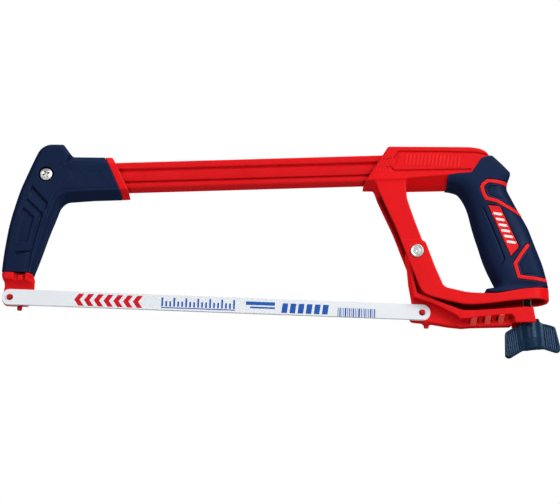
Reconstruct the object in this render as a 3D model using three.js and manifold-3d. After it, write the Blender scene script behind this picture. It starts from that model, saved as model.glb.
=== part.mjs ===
// High-tension hacksaw with a 300 mm blade.
// Millimetres. +X runs along the blade from the toe to the handle, +Y is the saw's thickness and
// +Z is up. The origin is on the blade's outer flat side, midway between its two pins' axes.
import * as THREE from 'three';
import { mergeVertices } from 'three/addons/utils/BufferGeometryUtils.js';
import Module from 'manifold-3d';

const wasm = await Module();
wasm.setup();

// ---------------------------------------------------------------- driving dimensions
const gap = 0.3;                  // room between two solids that rest on each other
const pinGap = 0.15;              // room around a pin that is pressed into its hole
const runGap = 0.1;               // running clearance around a shaft
const rad = Math.PI / 180;

const blade = { holes: 300, width: 12, thick: 0.65, holeR: 2.35, sag: 0.3 };
// sag is how far the blade hangs below its pins.
const postHalf = 4.4;             // half the thickness of the two blade posts
const bladeFace = postHalf + gap + blade.thick;   // outer side of the blade, from the mid plane
const pin = { r: 1.7, x: 150.5, out: 7.2, in: 3 };
const peg = { r: 1.85, top: -2.4, frontX: -143, frontEnd: -8.6, rearX: 153.5, rearEnd: -10.6 };

const beam = { slope: 3.95 * rad, midZ: 99.25, height: 20.4, half: 7.5, front: -134.5, rear: 179 };
const armHalf = 15;               // half the thickness of the front arm at its top
const armFootHalf = 10.5;         // and at its foot
const armSkin = 1.6;              // thickness of the soft skin on the front arm
const frameHalf = 15.5;           // half the thickness of the rear frame
const channelHalf = 12.75;        // half the width of the channel in the rear frame
const gripHalf = 16;
const gripSkin = 3.5;             // thickness of the soft skin on the handle
const inlayDepth = 2.5;           // how deep the coloured inlays sit in the handle
const pivot = { x: 144.65, z: 43.2, r: 3, headR: 4.9, eyeR: 5.9 };
const leverHalf = 12.25;
const leverWall = 2.5;
const trunnion = { x: 225.5, z: 22, r: 2.5, half: 11.8 };
const bolt = { lean: 8 * rad, r: 3, eyeR: 5, eyeHalf: 4, end: 43.5 };
const washer = { top: 23.7, base: 26, r: 7.2, holeR: 3.3, domeR: 30 };
const nut = { top: 26.2, base: 45.4, r: 6.4, turn: -4.3 * rad, wingHalf: 2.3 };
const insert = { r: 4.4, length: 13.5 };
const screw = { x: -128.6, z: 91, r: 2.5, headR: 4.75, headH: 2.6, seat: 12.7 };

// ---------------------------------------------------------------- materials
function finish(color, roughness, metalness) {
  return new THREE.MeshStandardMaterial({ color, roughness, metalness });
}
const redPaint = finish(0xe0202a, 0.42, 0.0);
const navyRubber = finish(0x16284c, 0.62, 0.0);
const redInlay = finish(0xe8262c, 0.5, 0.0);
const steel = finish(0xc8cac8, 0.32, 1.0);
const brass = finish(0xb89a55, 0.35, 1.0);
const navyPlastic = finish(0x1a3050, 0.4, 0.0);
const bladePaint = finish(0xe8edf1, 0.35, 0.0);

// ---------------------------------------------------------------- solids and booleans
function solid(geometry) {
  const plain = geometry.clone();
  plain.deleteAttribute('normal');
  plain.deleteAttribute('uv');
  const merged = mergeVertices(plain, 1e-4);
  const mesh = new wasm.Mesh({
    numProp: 3,
    vertProperties: new Float32Array(merged.attributes.position.array),
    triVerts: new Uint32Array(merged.index.array),
  });
  return new wasm.Manifold(mesh);
}

function join(first, ...rest) {
  return rest.reduce((all, one) => all.add(one), first);
}

function cut(first, ...rest) {
  return rest.reduce((all, one) => all.subtract(one), first);
}

function geometryOf(body) {
  const mesh = body.getMesh();
  const geometry = new THREE.BufferGeometry();
  const stride = mesh.numProp;
  const count = mesh.vertProperties.length / stride;
  const position = new Float32Array(count * 3);
  for (let i = 0; i < count; i += 1) {
    for (let k = 0; k < 3; k += 1) {
      position[i * 3 + k] = mesh.vertProperties[i * stride + k];
    }
  }
  geometry.setAttribute('position', new THREE.BufferAttribute(position, 3));
  geometry.setIndex(new THREE.BufferAttribute(new Uint32Array(mesh.triVerts), 1));
  geometry.computeVertexNormals();
  return geometry;
}

// ---------------------------------------------------------------- shapes
// A closed outline. A third number on a point is how far its corner is rounded back.
function outline(points) {
  const shape = new THREE.Shape();
  const count = points.length;
  const at = (i) => new THREE.Vector2(...points[(i + count) % count].slice(0, 2));
  for (let i = 0; i < count; i += 1) {
    const corner = at(i);
    const lengths = [corner.distanceTo(at(i - 1)), corner.distanceTo(at(i + 1))];
    const round = Math.min(points[i][2] ?? 0, 0.45 * lengths[0], 0.45 * lengths[1]);
    const before = corner.clone().lerp(at(i - 1), round / lengths[0]);
    const after = corner.clone().lerp(at(i + 1), round / lengths[1]);
    if (i === 0) {
      shape.moveTo(before.x, before.y);
    } else {
      shape.lineTo(before.x, before.y);
    }
    if (round > 0) {
      shape.quadraticCurveTo(corner.x, corner.y, after.x, after.y);
    }
  }
  shape.closePath();
  return shape;
}

// Moves every side of an outline inwards by the same distance.
function shrink(points, by) {
  const count = points.length;
  const at = (i) => new THREE.Vector2(...points[(i + count) % count].slice(0, 2));
  const inward = Math.sign(THREE.ShapeUtils.area(points.map((_, i) => at(i))));
  const normal = (from, to) => {
    const way = to.clone().sub(from).normalize();
    return new THREE.Vector2(-way.y * inward, way.x * inward);
  };
  return points.map((point, i) => {
    const before = normal(at(i - 1), at(i));
    const after = normal(at(i), at(i + 1));
    const shift = before.clone().add(after).multiplyScalar(by / (1 + before.dot(after)));
    return [point[0] + shift.x, point[1] + shift.y, point[2] ?? 0];
  });
}

// A strip of constant width along a line of points, with square ends.
function strip(points, width) {
  const line = points.map(([x, z]) => new THREE.Vector2(x, z));
  const side = (sign) => line.map((here, i) => {
    const back = line[Math.max(i - 1, 0)];
    const ahead = line[Math.min(i + 1, line.length - 1)];
    const along = ahead.clone().sub(back).normalize();
    return [here.x - along.y * sign * width / 2, here.y + along.x * sign * width / 2];
  });
  return outline([...side(1), ...side(-1).reverse()]);
}

// Extrudes a side-view outline across the saw, centred on y. round bevels its long edges.
function slab(shape, half, { round = 0, y = 0, steps = 3 } = {}) {
  const geometry = new THREE.ExtrudeGeometry(shape, {
    depth: 2 * (half - round),
    curveSegments: 4,
    bevelEnabled: round > 0,
    bevelThickness: round,
    bevelSize: round,
    bevelOffset: -round,
    bevelSegments: steps,
  });
  geometry.rotateX(Math.PI / 2);
  geometry.translate(0, half - round + y, 0);
  return solid(geometry);
}

// A bevelled slab whose whole surface lies inset below the full shape.
function layer(points, half, round, inset) {
  return slab(outline(shrink(points, inset)), half - inset, { round: Math.max(round - inset, 0) });
}

// Extrudes a (y, z) section along X from one place to another.
function along(shape, from, to) {
  const geometry = new THREE.ExtrudeGeometry(shape, {
    depth: to - from,
    curveSegments: 4,
    bevelEnabled: false,
  });
  const turn = new THREE.Matrix4().makeBasis(
    new THREE.Vector3(0, 1, 0),
    new THREE.Vector3(0, 0, 1),
    new THREE.Vector3(1, 0, 0),
  );
  geometry.applyMatrix4(turn);
  geometry.translate(from, 0, 0);
  return solid(geometry);
}

// Extrudes a plan-view (x, y) outline upwards.
function upright(shape, from, to) {
  const geometry = new THREE.ExtrudeGeometry(shape, {
    depth: to - from,
    curveSegments: 10,
    bevelEnabled: false,
  });
  geometry.translate(0, 0, from);
  return solid(geometry);
}

function rodY(x, z, r, from, to, sides = 28) {
  const geometry = new THREE.CylinderGeometry(r, r, to - from, sides);
  geometry.translate(x, (from + to) / 2, z);
  return solid(geometry);
}

function rodZ(x, y, r, from, to, sides = 28) {
  const geometry = new THREE.CylinderGeometry(r, r, to - from, sides);
  geometry.rotateX(Math.PI / 2);
  geometry.translate(x, y, (from + to) / 2);
  return solid(geometry);
}

// Turns an (r, z) profile about the Z axis. The profile starts and ends on the axis or closes.
function turned(profile, sides = 32) {
  const points = profile.map(([r, z]) => new THREE.Vector2(r, z));
  const geometry = new THREE.LatheGeometry(points, sides);
  geometry.rotateX(Math.PI / 2);
  return solid(geometry);
}

const saw = new THREE.Group();

function piece(name, body, material, parent = saw) {
  const mesh = new THREE.Mesh(geometryOf(body), material);
  mesh.name = name;
  parent.add(mesh);
  return mesh;
}

// ---------------------------------------------------------------- beam
function beamSection(grow) {
  const h = beam.height / 2 + grow;
  const w = beam.half + grow;
  const web = w - 1.1;
  const right = [
    [w, -h, 1.2],
    [w, -h + 4.4, 0.3],
    [web, -h + 5.2],
    [web, h - 6.2],
    [w, h - 5.4, 0.3],
    [w, h, 1.2],
  ];
  const left = right.map(([y, z, round]) => [-y, z, round]).reverse();
  return outline([...right, ...left]);
}

function boxSection(halfY, halfZ) {
  return outline([[-halfY, -halfZ], [halfY, -halfZ], [halfY, halfZ], [-halfY, halfZ]]);
}

// A solid along the beam's own line, turned and lifted into its place in the saw.
function onBeam(body) {
  return body.rotate([0, -beam.slope / rad, 0]).translate([0, 0, beam.midZ]);
}

function beamZ(x) {
  return beam.midZ + x * Math.tan(beam.slope);
}

function beamRoom() {
  const length = 2;
  return onBeam(along(boxSection(beam.half + gap, beam.height / 2 + gap),
    beam.front - length, beam.rear + length));
}

function makeBeam() {
  const bar = along(beamSection(0), beam.front, beam.rear);
  const hollow = along(boxSection(beam.half - 2.7, beam.height / 2 - 1.8),
    beam.front - 1, beam.rear + 1);
  const tube = onBeam(bar.subtract(hollow));
  const screwHole = rodY(screw.x, screw.z, screw.r + pinGap, -20, 20);
  const lockHole = rodZ(lockScrew.x, 0, lockScrew.r + pinGap, 90, lockScrew.top + 1);
  return cut(tube, screwHole, lockHole);
}

// ---------------------------------------------------------------- front arm
const armOutline = [
  [-110.7, 106.4, 1.5],
  [-81, 107.4],
  [-67.2, 80.6],
  [-93.8, 78.5],
  [-113.5, 76.3, 3],
  [-118.6, 72.6, 3],
  [-125.5, 49.6],
  [-131.5, 27.6],
  [-134.4, 17.5],
  [-133.6, 10.5],
  [-155.6, 10.5],
  [-156.9, 17.5, 2],
  [-155.8, 38, 7],
  [-152.6, 55, 9],
  [-146.8, 78.5],
  [-134.9, 110.6, 5],
  [-129, 114.4, 4],
  [-117.1, 114.6],
];

// The arm grows thinner towards its foot.
function armTaper(inset) {
  const top = armHalf - inset;
  const foot = armFootHalf - inset;
  const half = [[foot, 0], [foot, 17], [top, 62], [top, 120]];
  const other = half.map(([y, z]) => [-y, z]).reverse();
  return along(outline([...half, ...other]), -170, -50);
}

function armBody(inset) {
  return layer(armOutline, armHalf, 2.5, inset).intersect(armTaper(inset));
}

// The bare metal at the arm's mouth, in front of a slanted edge.
function mouthRegion(shift) {
  return slab(outline([
    [-89.2 + shift, 112],
    [-50, 112],
    [-50, 70],
    [-68.2 + shift, 70],
  ]), 30);
}

function footRegion(top) {
  return slab(outline([[-170, -20], [-120, -20], [-120, top], [-170, top]]), 30);
}

function makeFrontArm() {
  const core = armBody(armSkin);
  const mouth = armBody(0).intersect(mouthRegion(0));
  const foot = armBody(0).intersect(footRegion(17.2));
  const post = slab(outline([
    [-134.2, 12],
    [-133.6, 8.4],
    [-133, 4.6],
    [-136.6, -5.2, 2],
    [-153.6, -5.2, 3],
    [-156.6, 0, 3],
    [-154.6, 8.4],
    [-155, 12],
  ]), postHalf);
  const whole = join(core, mouth, foot, post);
  return cut(
    whole,
    beamRoom(),
    rodY(screw.x, screw.z, screw.r + gap, -20, 20),
    rodY(screw.x, screw.z, screw.headR + gap, -20, -screw.seat),
    hexY(screw.x, screw.z, 4.4, 8.9, 20),
    rodY(-pin.x, 0, pin.r + pinGap, -10, pin.in + gap),
    rodZ(peg.frontX, 0, peg.r + pinGap, -12, peg.top + gap),
  );
}

function makeFrontGrip() {
  const holeR = screw.headR + 0.9;
  return cut(
    armBody(0),
    mouthRegion(-gap),
    footRegion(17.2 + gap),
    armBody(armSkin - gap),
    rodY(screw.x, screw.z, holeR, -20, 20),
  );
}

// A hexagonal prism across the saw; flat is half its width across flats.
function hexY(x, z, flat, from, to) {
  const geometry = new THREE.CylinderGeometry(flat / Math.cos(30 * rad), flat / Math.cos(30 * rad),
    to - from, 6);
  geometry.translate(x, (from + to) / 2, z);
  return solid(geometry);
}

function makeArmScrew() {
  const { x, z, r, headR, headH, seat } = screw;
  const head = rodY(x, z, headR, -seat - headH, -seat - 0.1);
  const dome = rodY(x, z, headR - 1, -seat - headH - 0.5, -seat - headH);
  const shank = rodY(x, z, r, -seat - 0.2, 13);
  const armLong = 2.6;
  const armWide = 0.55;
  const deep = { y: -seat - headH, half: 1.4 };
  const recess = [[armLong, armWide], [armWide, armLong]].map(([w, h]) => {
    const cross = outline([[x - w, z - h], [x + w, z - h], [x + w, z + h], [x - w, z + h]]);
    return slab(cross, deep.half, { y: deep.y });
  });
  return cut(join(head, dome, shank), ...recess);
}

function makeScrewNut() {
  const nutBody = hexY(screw.x, screw.z, 4, 9.2, 13.1);
  return nutBody.subtract(rodY(screw.x, screw.z, screw.r + pinGap, 0, 20));
}

// ---------------------------------------------------------------- rear frame
const sleeveOutline = outline([
  [104.4, 92.6],
  [106.3, 95.9],
  [121.8, 121.4],
  [183, 123.4, 5],
  [194.6, 121.2, 4],
  [198.6, 116.6],
  [205, 110],
  [205, 96],
  [165, 95],
  [137, 93.6],
]);

// The side view of everything the handle covers, from the sleeve down to the base.
const handleOutline = [
  [150, 94.4],
  [150, 122.3],
  [183, 123.4, 5],
  [194.6, 120.8, 4],
  [211.4, 106.4],
  [212.3, 102.4],
  [209.4, 95.4, 4],
  [220.9, 74.4, 6],
  [231, 53.4, 6],
  [238.4, 33.4, 6],
  [242.4, 12.4],
  [214, 9],
  [203.6, 15],
  [205, 21.2, 2],
  [196.6, 36.2, 6],
  [190.6, 52.8, 6],
  [184.8, 71.4, 6],
  [180.4, 86, 6],
  [173.4, 94.2, 3],
];

// Everything in front of and above the edge of the handle's soft skin.
function sleeveRegion(shift) {
  return slab(outline([
    [90, 60],
    [163.2 + shift, 60],
    [163.6 + shift, 89],
    [165.4 + shift, 96],
    [166.4 + shift, 102.7 - shift],
    [183.4 + shift, 104.7 - shift],
    [190.2 + shift, 115.4 - shift],
    [202, 118.6 - shift],
    [202, 135],
    [90, 135],
  ]), 30);
}

const channelOutline = [
  [109.5, 93.6],
  [114.6, 90.6, 2],
  [128.2, 61.9],
  [143.6, 25],
  [149, 13, 3],
  [181, 4.9, 8],
  [205.5, 7.7],
  [231, 11.2],
  [242.6, 11.6],
  [241.4, 20.4],
  [227, 19],
  [212.6, 16.3],
  [203.2, 14.3, 2],
  [185.2, 14, 6],
  [166.6, 16.9, 2],
  [164, 19, 1],
  [150.9, 50.6, 0.8],
  [148.4, 51.6, 0.8],
  [136.3, 85, 2],
  [135.4, 94.5],
];

// The hollow that is open towards the front of the strut and the underside of the rail and base.
const hollowOutline = outline([
  [95, 87.4],
  [133, 87.4, 2],
  [145.6, 51.4],
  [149.4, 48.6, 1],
  [161.2, 20.4],
  [164, 13.8, 2],
  [185, 11, 6],
  [204, 11.2, 2],
  [213, 13.3],
  [227, 16],
  [246, 17],
  [246, -10],
  [140, -10],
  [95, 60],
]);

// Plan view of the rear end of the base, an ellipse that runs into straight sides.
function plan(half, reach, xRadius) {
  const shape = new THREE.Shape();
  shape.moveTo(60, -half);
  shape.lineTo(reach - xRadius, -half);
  shape.absellipse(reach - xRadius, 0, xRadius, half, -Math.PI / 2, Math.PI / 2, false, 0);
  shape.lineTo(60, half);
  shape.closePath();
  return upright(shape, -30, 140);
}

const lockScrew = { x: 171, r: 2.5, base: 98.4, top: 105.5 };

function frameCore(inset) {
  return layer(handleOutline, gripHalf, 5, inset);
}

function channelSolid(grow) {
  const half = frameHalf + grow;
  const body = slab(outline(channelOutline), half, { round: 1, steps: 2 });
  return body.intersect(plan(frameHalf + grow, 242.8 + grow, 12));
}

function makeRearFrame() {
  const sleeve = slab(sleeveOutline, frameHalf, { round: 1.5, steps: 2 })
    .intersect(sleeveRegion(0));
  const whole = join(sleeve, frameCore(gripSkin), channelSolid(0));
  const hollow = slab(hollowOutline, channelHalf).intersect(plan(channelHalf, 240, 9.5));
  const eyeRoom = join(
    rodY(trunnion.x, trunnion.z, 6.4, -4.6, 4.6),
    slab(outline([
      [trunnion.x - 6.4, 10],
      [trunnion.x + 6.4, 10],
      [trunnion.x + 6.4, trunnion.z],
      [trunnion.x - 6.4, trunnion.z],
    ]), 4.6),
  );
  return cut(
    whole,
    hollow,
    eyeRoom,
    beamRoom(),
    rodY(trunnion.x, trunnion.z, trunnion.r + pinGap, -20, 20),
    rodY(pivot.x, pivot.z, pivot.r + pinGap, -20, 20),
    rodZ(lockScrew.x, 0, lockScrew.r + pinGap, 90, 110),
  );
}

function makeRivet() {
  const { x, z, r, headR } = pivot;
  const seat = frameHalf + 0.1;
  const body = rodY(x, z, r, -seat - 0.1, seat + 0.1);
  const heads = [-1, 1].flatMap((side) => [[headR, 0, 1.1], [headR - 1.2, 1, 1.7]].map(
    ([radius, from, to]) => {
      const ends = [side * (seat + from), side * (seat + to)].sort((a, b) => a - b);
      return rodY(x, z, radius, ends[0], ends[1]);
    },
  ));
  return join(body, ...heads);
}

// ---------------------------------------------------------------- handle skin and its inlays
const inlays = {
  upper: strip([
    [216, 96.9],
    [207, 97.4],
    [198.5, 98.1],
    [193.4, 97],
    [191, 93.2],
    [192.4, 88.6],
    [195.2, 84.8],
    [202.4, 83],
    [208.3, 80],
    [220, 74.6],
  ], 2.9),
  lower: strip([
    [225.4, 50.8],
    [216.2, 36.6],
    [219.4, 26.6],
    [246, 25.6],
  ], 3),
  badge: outline([
    [195.8, 79.8, 0.6],
    [205, 79.1, 2],
    [218.9, 49.4, 1.5],
    [213, 42, 0.6],
  ]),
};

function inlaySolid(shape, from, to) {
  const prism = slab(shape, (to - from) / 2, { y: (from + to) / 2 });
  return prism.intersect(frameCore(0)).subtract(frameCore(inlayDepth));
}

function inlayRoom(shape) {
  const flat = slab(shape, 30);
  const shifts = [[gap, 0], [-gap, 0], [0, gap], [0, -gap]];
  const room = join(flat, ...shifts.map(([dx, dz]) => flat.translate([dx, 0, dz])));
  return room.subtract(frameCore(inlayDepth + gap));
}

function makeHandleGrip() {
  return cut(
    frameCore(0),
    sleeveRegion(gap),
    frameCore(gripSkin - gap),
    slab(outline([[200, -5], [250, -5], [250, 8], [200, 8]]), 30),
    channelRoom(),
    inlayRoom(inlays.upper),
    inlayRoom(inlays.lower),
    inlayRoom(inlays.badge),
  );
}

// Room for the base of the frame below the handle skin.
function channelRoom() {
  return slab(outline([
    [190, 0],
    [250, 0],
    [250, 20.6 + gap],
    [241.4, 20.6 + gap],
    [227, 19 + gap],
    [212.6, 16.3 + gap],
    [203.2, 14.3 + gap],
    [190, 14.3 + gap],
  ]), 30);
}

// ---------------------------------------------------------------- tension lever
function makeLever() {
  const web = slab(outline([
    [138.5, 43],
    [140.4, 23],
    [143.1, 8.2],
    [142.8, 4],
    [141.4, -6.1, 1],
    [157, -7.2],
    [171, -8.9],
    [180, -9.2, 2],
    [184, -7.6],
    [184, 0.4],
    [173.2, 2.3],
    [156.4, 8.4],
    [157, 22],
    [150.9, 43],
  ]), postHalf);
  const eye = rodY(pivot.x, pivot.z, pivot.eyeR, -leverHalf, leverHalf);
  const frontFlange = slab(outline([
    [138.4, 40],
    [140.4, 23],
    [143.1, 9.6],
    [146.4, 9.4],
    [143.2, 23.4],
    [141.3, 40],
  ]), leverHalf);
  const topFlange = slab(outline([
    [143.1, 9.6],
    [155.5, 6.6],
    [173.4, -1.8],
    [180.7, -5.8],
    [185, -6],
    [185, 1.2],
    [180, 0.8, 3],
    [162.2, 6.8],
    [144.4, 13],
  ]), leverHalf);
  const box = slab(outline([
    [180, -8.4],
    [216, -6.1],
    [232.4, -5.4],
    [230.2, 5.8],
    [205.8, 3.4],
    [180, 0.8],
  ]), leverHalf, { round: 0.8, steps: 1 });
  const ribs = [[187.2, 4.7], [197.3, 4.3], [207.2, 4.2]].map(([x, wide]) => slab(outline([
    [x - wide / 2, -7.3],
    [x + wide / 2, -6.9],
    [x + wide / 2, 0],
    [x - wide / 2, 0],
  ]), leverHalf - leverWall));
  const pocket = slab(outline([
    [184.2, -20],
    [214.6, -20],
    [214.6, -1.2],
    [184.2, -1.2],
  ]), leverHalf - leverWall);
  const sideWindow = slab(outline([
    [184.2, -20],
    [214.6, -20],
    [214.4, -1.8, 2],
    [184.2, -4.6],
  ]), 20);
  const seat = slab(outline([
    [217.2, -20],
    [240, -20],
    [240, -0.41],
    [217.2, -2],
  ]), leverHalf - leverWall);
  const slot = slab(outline([[222.4, -20], [240, -20], [240, 20], [222.4, 20]]), 3.5);
  const body = join(web, eye, frontFlange, topFlange, box);
  const hollowed = join(cut(body, pocket, sideWindow, seat), ...ribs);
  return cut(
    hollowed,
    slot,
    rodY(pivot.x, pivot.z, pivot.r + runGap, -20, 20),
    rodY(pin.x, 0, pin.r + pinGap, -10, pin.in + gap),
    rodZ(peg.rearX, 0, peg.r + pinGap, -14, peg.top + gap),
  );
}

// ---------------------------------------------------------------- bolt, washer and wing nut
// These are drawn about the trunnion, with the bolt hanging straight down.
function makeBolt() {
  const eye = rodY(0, 0, bolt.eyeR, -bolt.eyeHalf, bolt.eyeHalf);
  const shank = turned([
    [0, -3.6],
    [bolt.r, -3.6],
    [bolt.r, -bolt.end + 0.8],
    [bolt.r - 0.8, -bolt.end],
    [0, -bolt.end],
  ].reverse(), 28);
  return join(eye, shank).subtract(rodY(0, 0, trunnion.r + runGap, -10, 10));
}

function makeWasher() {
  const centre = -washer.top - washer.domeR;
  const dome = [];
  const steps = 4;
  for (let i = 0; i <= steps; i += 1) {
    const r = washer.r + (washer.holeR - washer.r) * i / steps;
    dome.push([r, centre + Math.sqrt(washer.domeR ** 2 - r ** 2)]);
  }
  const base = -washer.base;
  return turned([[washer.holeR, base], [washer.r, base], ...dome, [washer.holeR, base]]);
}

function makeWingNut() {
  const hub = turned([
    [0, -nut.base],
    [nut.r - 1.2, -nut.base],
    [nut.r - 0.6, -nut.base + 3],
    [nut.r, -nut.top - 12],
    [nut.r, -nut.top - 0.6],
    [nut.r - 0.6, -nut.top],
    [0, -nut.top],
  ]);
  const wing = [
    [0, -28.8],
    [13, -29.2],
    [18.4, -31.8, 1.5],
    [20.1, -49.2, 1.5],
    [17.2, -50.4, 1],
    [5, -45],
    [0, -44.6],
  ];
  const mirrored = wing.slice(1, -1).map(([x, z, round]) => [-x, z, round]).reverse();
  const wings = slab(outline([...wing, ...mirrored]), nut.wingHalf, { round: 0.8, steps: 1 });
  const bore = rodZ(0, 0, insert.r + pinGap, -nut.top - insert.length - gap, 0);
  const tip = rodZ(0, 0, bolt.r + gap, -nut.base + 1, 0);
  return cut(join(hub, wings), bore, tip);
}

function makeInsert() {
  const from = -nut.top - insert.length;
  const body = rodZ(0, 0, insert.r, from, -nut.top - 0.1);
  return body.subtract(rodZ(0, 0, bolt.r + runGap, from - 1, 0));
}

// ---------------------------------------------------------------- blade
function makeBlade() {
  const end = blade.holes / 2;
  const half = blade.width / 2;
  const shape = new THREE.Shape();
  shape.moveTo(-end, -half);
  shape.lineTo(end, -half);
  shape.absarc(end, 0, half, -Math.PI / 2, Math.PI / 2, false);
  shape.lineTo(-end, half);
  shape.absarc(-end, 0, half, Math.PI / 2, Math.PI * 1.5, false);
  const strip = new THREE.ExtrudeGeometry(shape, {
    depth: blade.thick,
    curveSegments: 14,
    bevelEnabled: false,
  });
  strip.rotateX(Math.PI / 2);
  strip.translate(0, -bladeFace + blade.thick, -blade.sag);
  const holes = [-end, end].map((x) => rodY(x, -blade.sag, blade.holeR, -12, 0));
  return cut(solid(strip), ...holes);
}

// ---------------------------------------------------------------- assembly
saw.position.y = bladeFace;

piece('beam', makeBeam(), redPaint);
piece('front_arm', makeFrontArm(), redPaint);
piece('front_arm_grip', makeFrontGrip(), navyRubber);
piece('front_arm_screw', makeArmScrew(), steel);
piece('front_arm_screw_nut', makeScrewNut(), steel);
piece('front_blade_pin', rodY(-pin.x, 0, pin.r, -pin.out, pin.in), redPaint);
piece('front_flush_cut_pin', rodZ(peg.frontX, 0, peg.r, peg.frontEnd, peg.top), redPaint);

piece('rear_frame', makeRearFrame(), redPaint);
piece('beam_lock_screw', rodZ(lockScrew.x, 0, lockScrew.r, lockScrew.base, lockScrew.top), steel);
piece('handle_grip', makeHandleGrip(), navyRubber);
piece('grip_stripe_upper', inlaySolid(inlays.upper, -30, 30), redInlay);
piece('grip_stripe_lower', inlaySolid(inlays.lower, -30, 30), redInlay);
piece('grip_badge_left', inlaySolid(inlays.badge, -30, 0), redInlay);
piece('grip_badge_right', inlaySolid(inlays.badge, 0, 30), redInlay);

piece('tension_lever', makeLever(), redPaint);
piece('lever_pivot_rivet', makeRivet(), steel);
piece('rear_blade_pin', rodY(pin.x, 0, pin.r, -pin.out, pin.in), redPaint);
piece('rear_flush_cut_pin', rodZ(peg.rearX, 0, peg.r, peg.rearEnd, peg.top), redPaint);
piece('bolt_pivot_pin', rodY(trunnion.x, trunnion.z, trunnion.r, -trunnion.half, trunnion.half),
  steel);

const boltGroup = new THREE.Group();
boltGroup.position.set(trunnion.x, 0, trunnion.z);
boltGroup.rotation.y = -bolt.lean;
saw.add(boltGroup);
piece('tension_bolt', makeBolt(), steel, boltGroup);
piece('thrust_washer', makeWasher(), steel, boltGroup);

const nutGroup = new THREE.Group();
nutGroup.rotation.z = nut.turn;
boltGroup.add(nutGroup);
piece('wing_nut', makeWingNut(), navyPlastic, nutGroup);
piece('wing_nut_insert', makeInsert(), brass, nutGroup);

piece('blade', makeBlade(), bladePaint);

export default saw;
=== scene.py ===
"""Looks for a high-tension hacksaw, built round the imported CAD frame."""
import math

import bmesh
import bpy
import numpy as np
import openvdb as vdb
from mathutils import Matrix, Vector


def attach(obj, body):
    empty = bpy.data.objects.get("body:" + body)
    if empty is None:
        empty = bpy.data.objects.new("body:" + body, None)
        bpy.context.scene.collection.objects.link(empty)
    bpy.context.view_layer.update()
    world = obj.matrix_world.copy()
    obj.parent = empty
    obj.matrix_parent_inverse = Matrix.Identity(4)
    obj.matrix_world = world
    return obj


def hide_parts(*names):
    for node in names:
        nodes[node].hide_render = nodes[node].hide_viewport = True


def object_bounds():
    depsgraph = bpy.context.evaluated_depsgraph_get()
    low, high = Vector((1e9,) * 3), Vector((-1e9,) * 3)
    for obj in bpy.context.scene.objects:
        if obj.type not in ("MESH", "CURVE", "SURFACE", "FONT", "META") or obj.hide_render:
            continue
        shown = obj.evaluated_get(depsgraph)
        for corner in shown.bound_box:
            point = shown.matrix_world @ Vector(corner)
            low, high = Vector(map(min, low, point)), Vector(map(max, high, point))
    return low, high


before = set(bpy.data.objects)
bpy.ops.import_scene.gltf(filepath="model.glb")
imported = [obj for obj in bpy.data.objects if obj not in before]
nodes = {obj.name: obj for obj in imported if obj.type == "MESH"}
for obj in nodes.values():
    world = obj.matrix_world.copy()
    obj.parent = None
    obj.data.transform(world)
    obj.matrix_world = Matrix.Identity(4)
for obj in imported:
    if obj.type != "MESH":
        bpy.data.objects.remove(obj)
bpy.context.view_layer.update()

# Shapes are drawn in millimetres in the CAD's own frame, with y counted from the saw's mid plane.
MID = 5.35
PIVOT_X, PIVOT_Z = 144.65, 43.2    # the lever's rivet
SCREW_X, SCREW_Z = -128.6, 91.0    # the front arm's screw
LEAN = math.radians(8)             # of the bolt at rest
TRUNNION = Vector((225.5, 0, 22))  # where the bolt hangs
DOWN = Vector((math.sin(LEAN), 0, -math.cos(LEAN)))
FAR = 1e3                          # a distance beyond every grid


# ------------------------------------------------------------------ distance fields
class Grid:
    """Sample points of a box of space. x, y and z broadcast against each other."""

    def __init__(self, low, high, step):
        self.low = np.array(low, float)
        self.step = step
        count = [int(math.ceil((b - a) / step)) + 1 for a, b in zip(low, high)]
        axis = [(a + np.arange(n) * step).astype(np.float32) for a, n in zip(low, count)]
        self.x = axis[0][:, None, None]
        self.y = axis[1][None, :, None]
        self.z = axis[2][None, None, :]
        self.shape = tuple(count)

    def flat(self, points):
        """Distance to a closed outline in the side view, negative inside."""
        return inside_distance(self.x[:, :, 0], self.z[:, 0, :], points)[:, None, :]

    def line(self, points):
        """Distance to an open line in the side view."""
        return line_distance(self.x[:, :, 0], self.z[:, 0, :], points)[:, None, :]


def inside_distance(x, z, points):
    points = np.array(points, np.float32)
    shape = np.broadcast(x, z).shape
    best = np.full(shape, 1e9, np.float32)
    inside = np.zeros(shape, bool)
    for a, b in zip(points, np.roll(points, -1, 0)):
        e = b - a
        length = float(e @ e)
        if length < 1e-10:
            continue
        wx = x - a[0]
        wz = z - a[1]
        t = np.clip((wx * e[0] + wz * e[1]) / length, 0, 1)
        best = np.minimum(best, (wx - e[0] * t) ** 2 + (wz - e[1] * t) ** 2)
        above = z >= a[1]
        below = z < b[1]
        left = e[0] * wz > e[1] * wx
        inside ^= (above & below & left) | (~above & ~below & ~left)
    return np.where(inside, -1, 1).astype(np.float32) * np.sqrt(best)


def line_distance(x, z, points):
    points = np.array(points, np.float32)
    best = np.full(np.broadcast(x, z).shape, 1e9, np.float32)
    for a, b in zip(points[:-1], points[1:]):
        e = b - a
        wx = x - a[0]
        wz = z - a[1]
        t = np.clip((wx * e[0] + wz * e[1]) / max(float(e @ e), 1e-9), 0, 1)
        best = np.minimum(best, (wx - e[0] * t) ** 2 + (wz - e[1] * t) ** 2)
    return np.sqrt(best)


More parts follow.
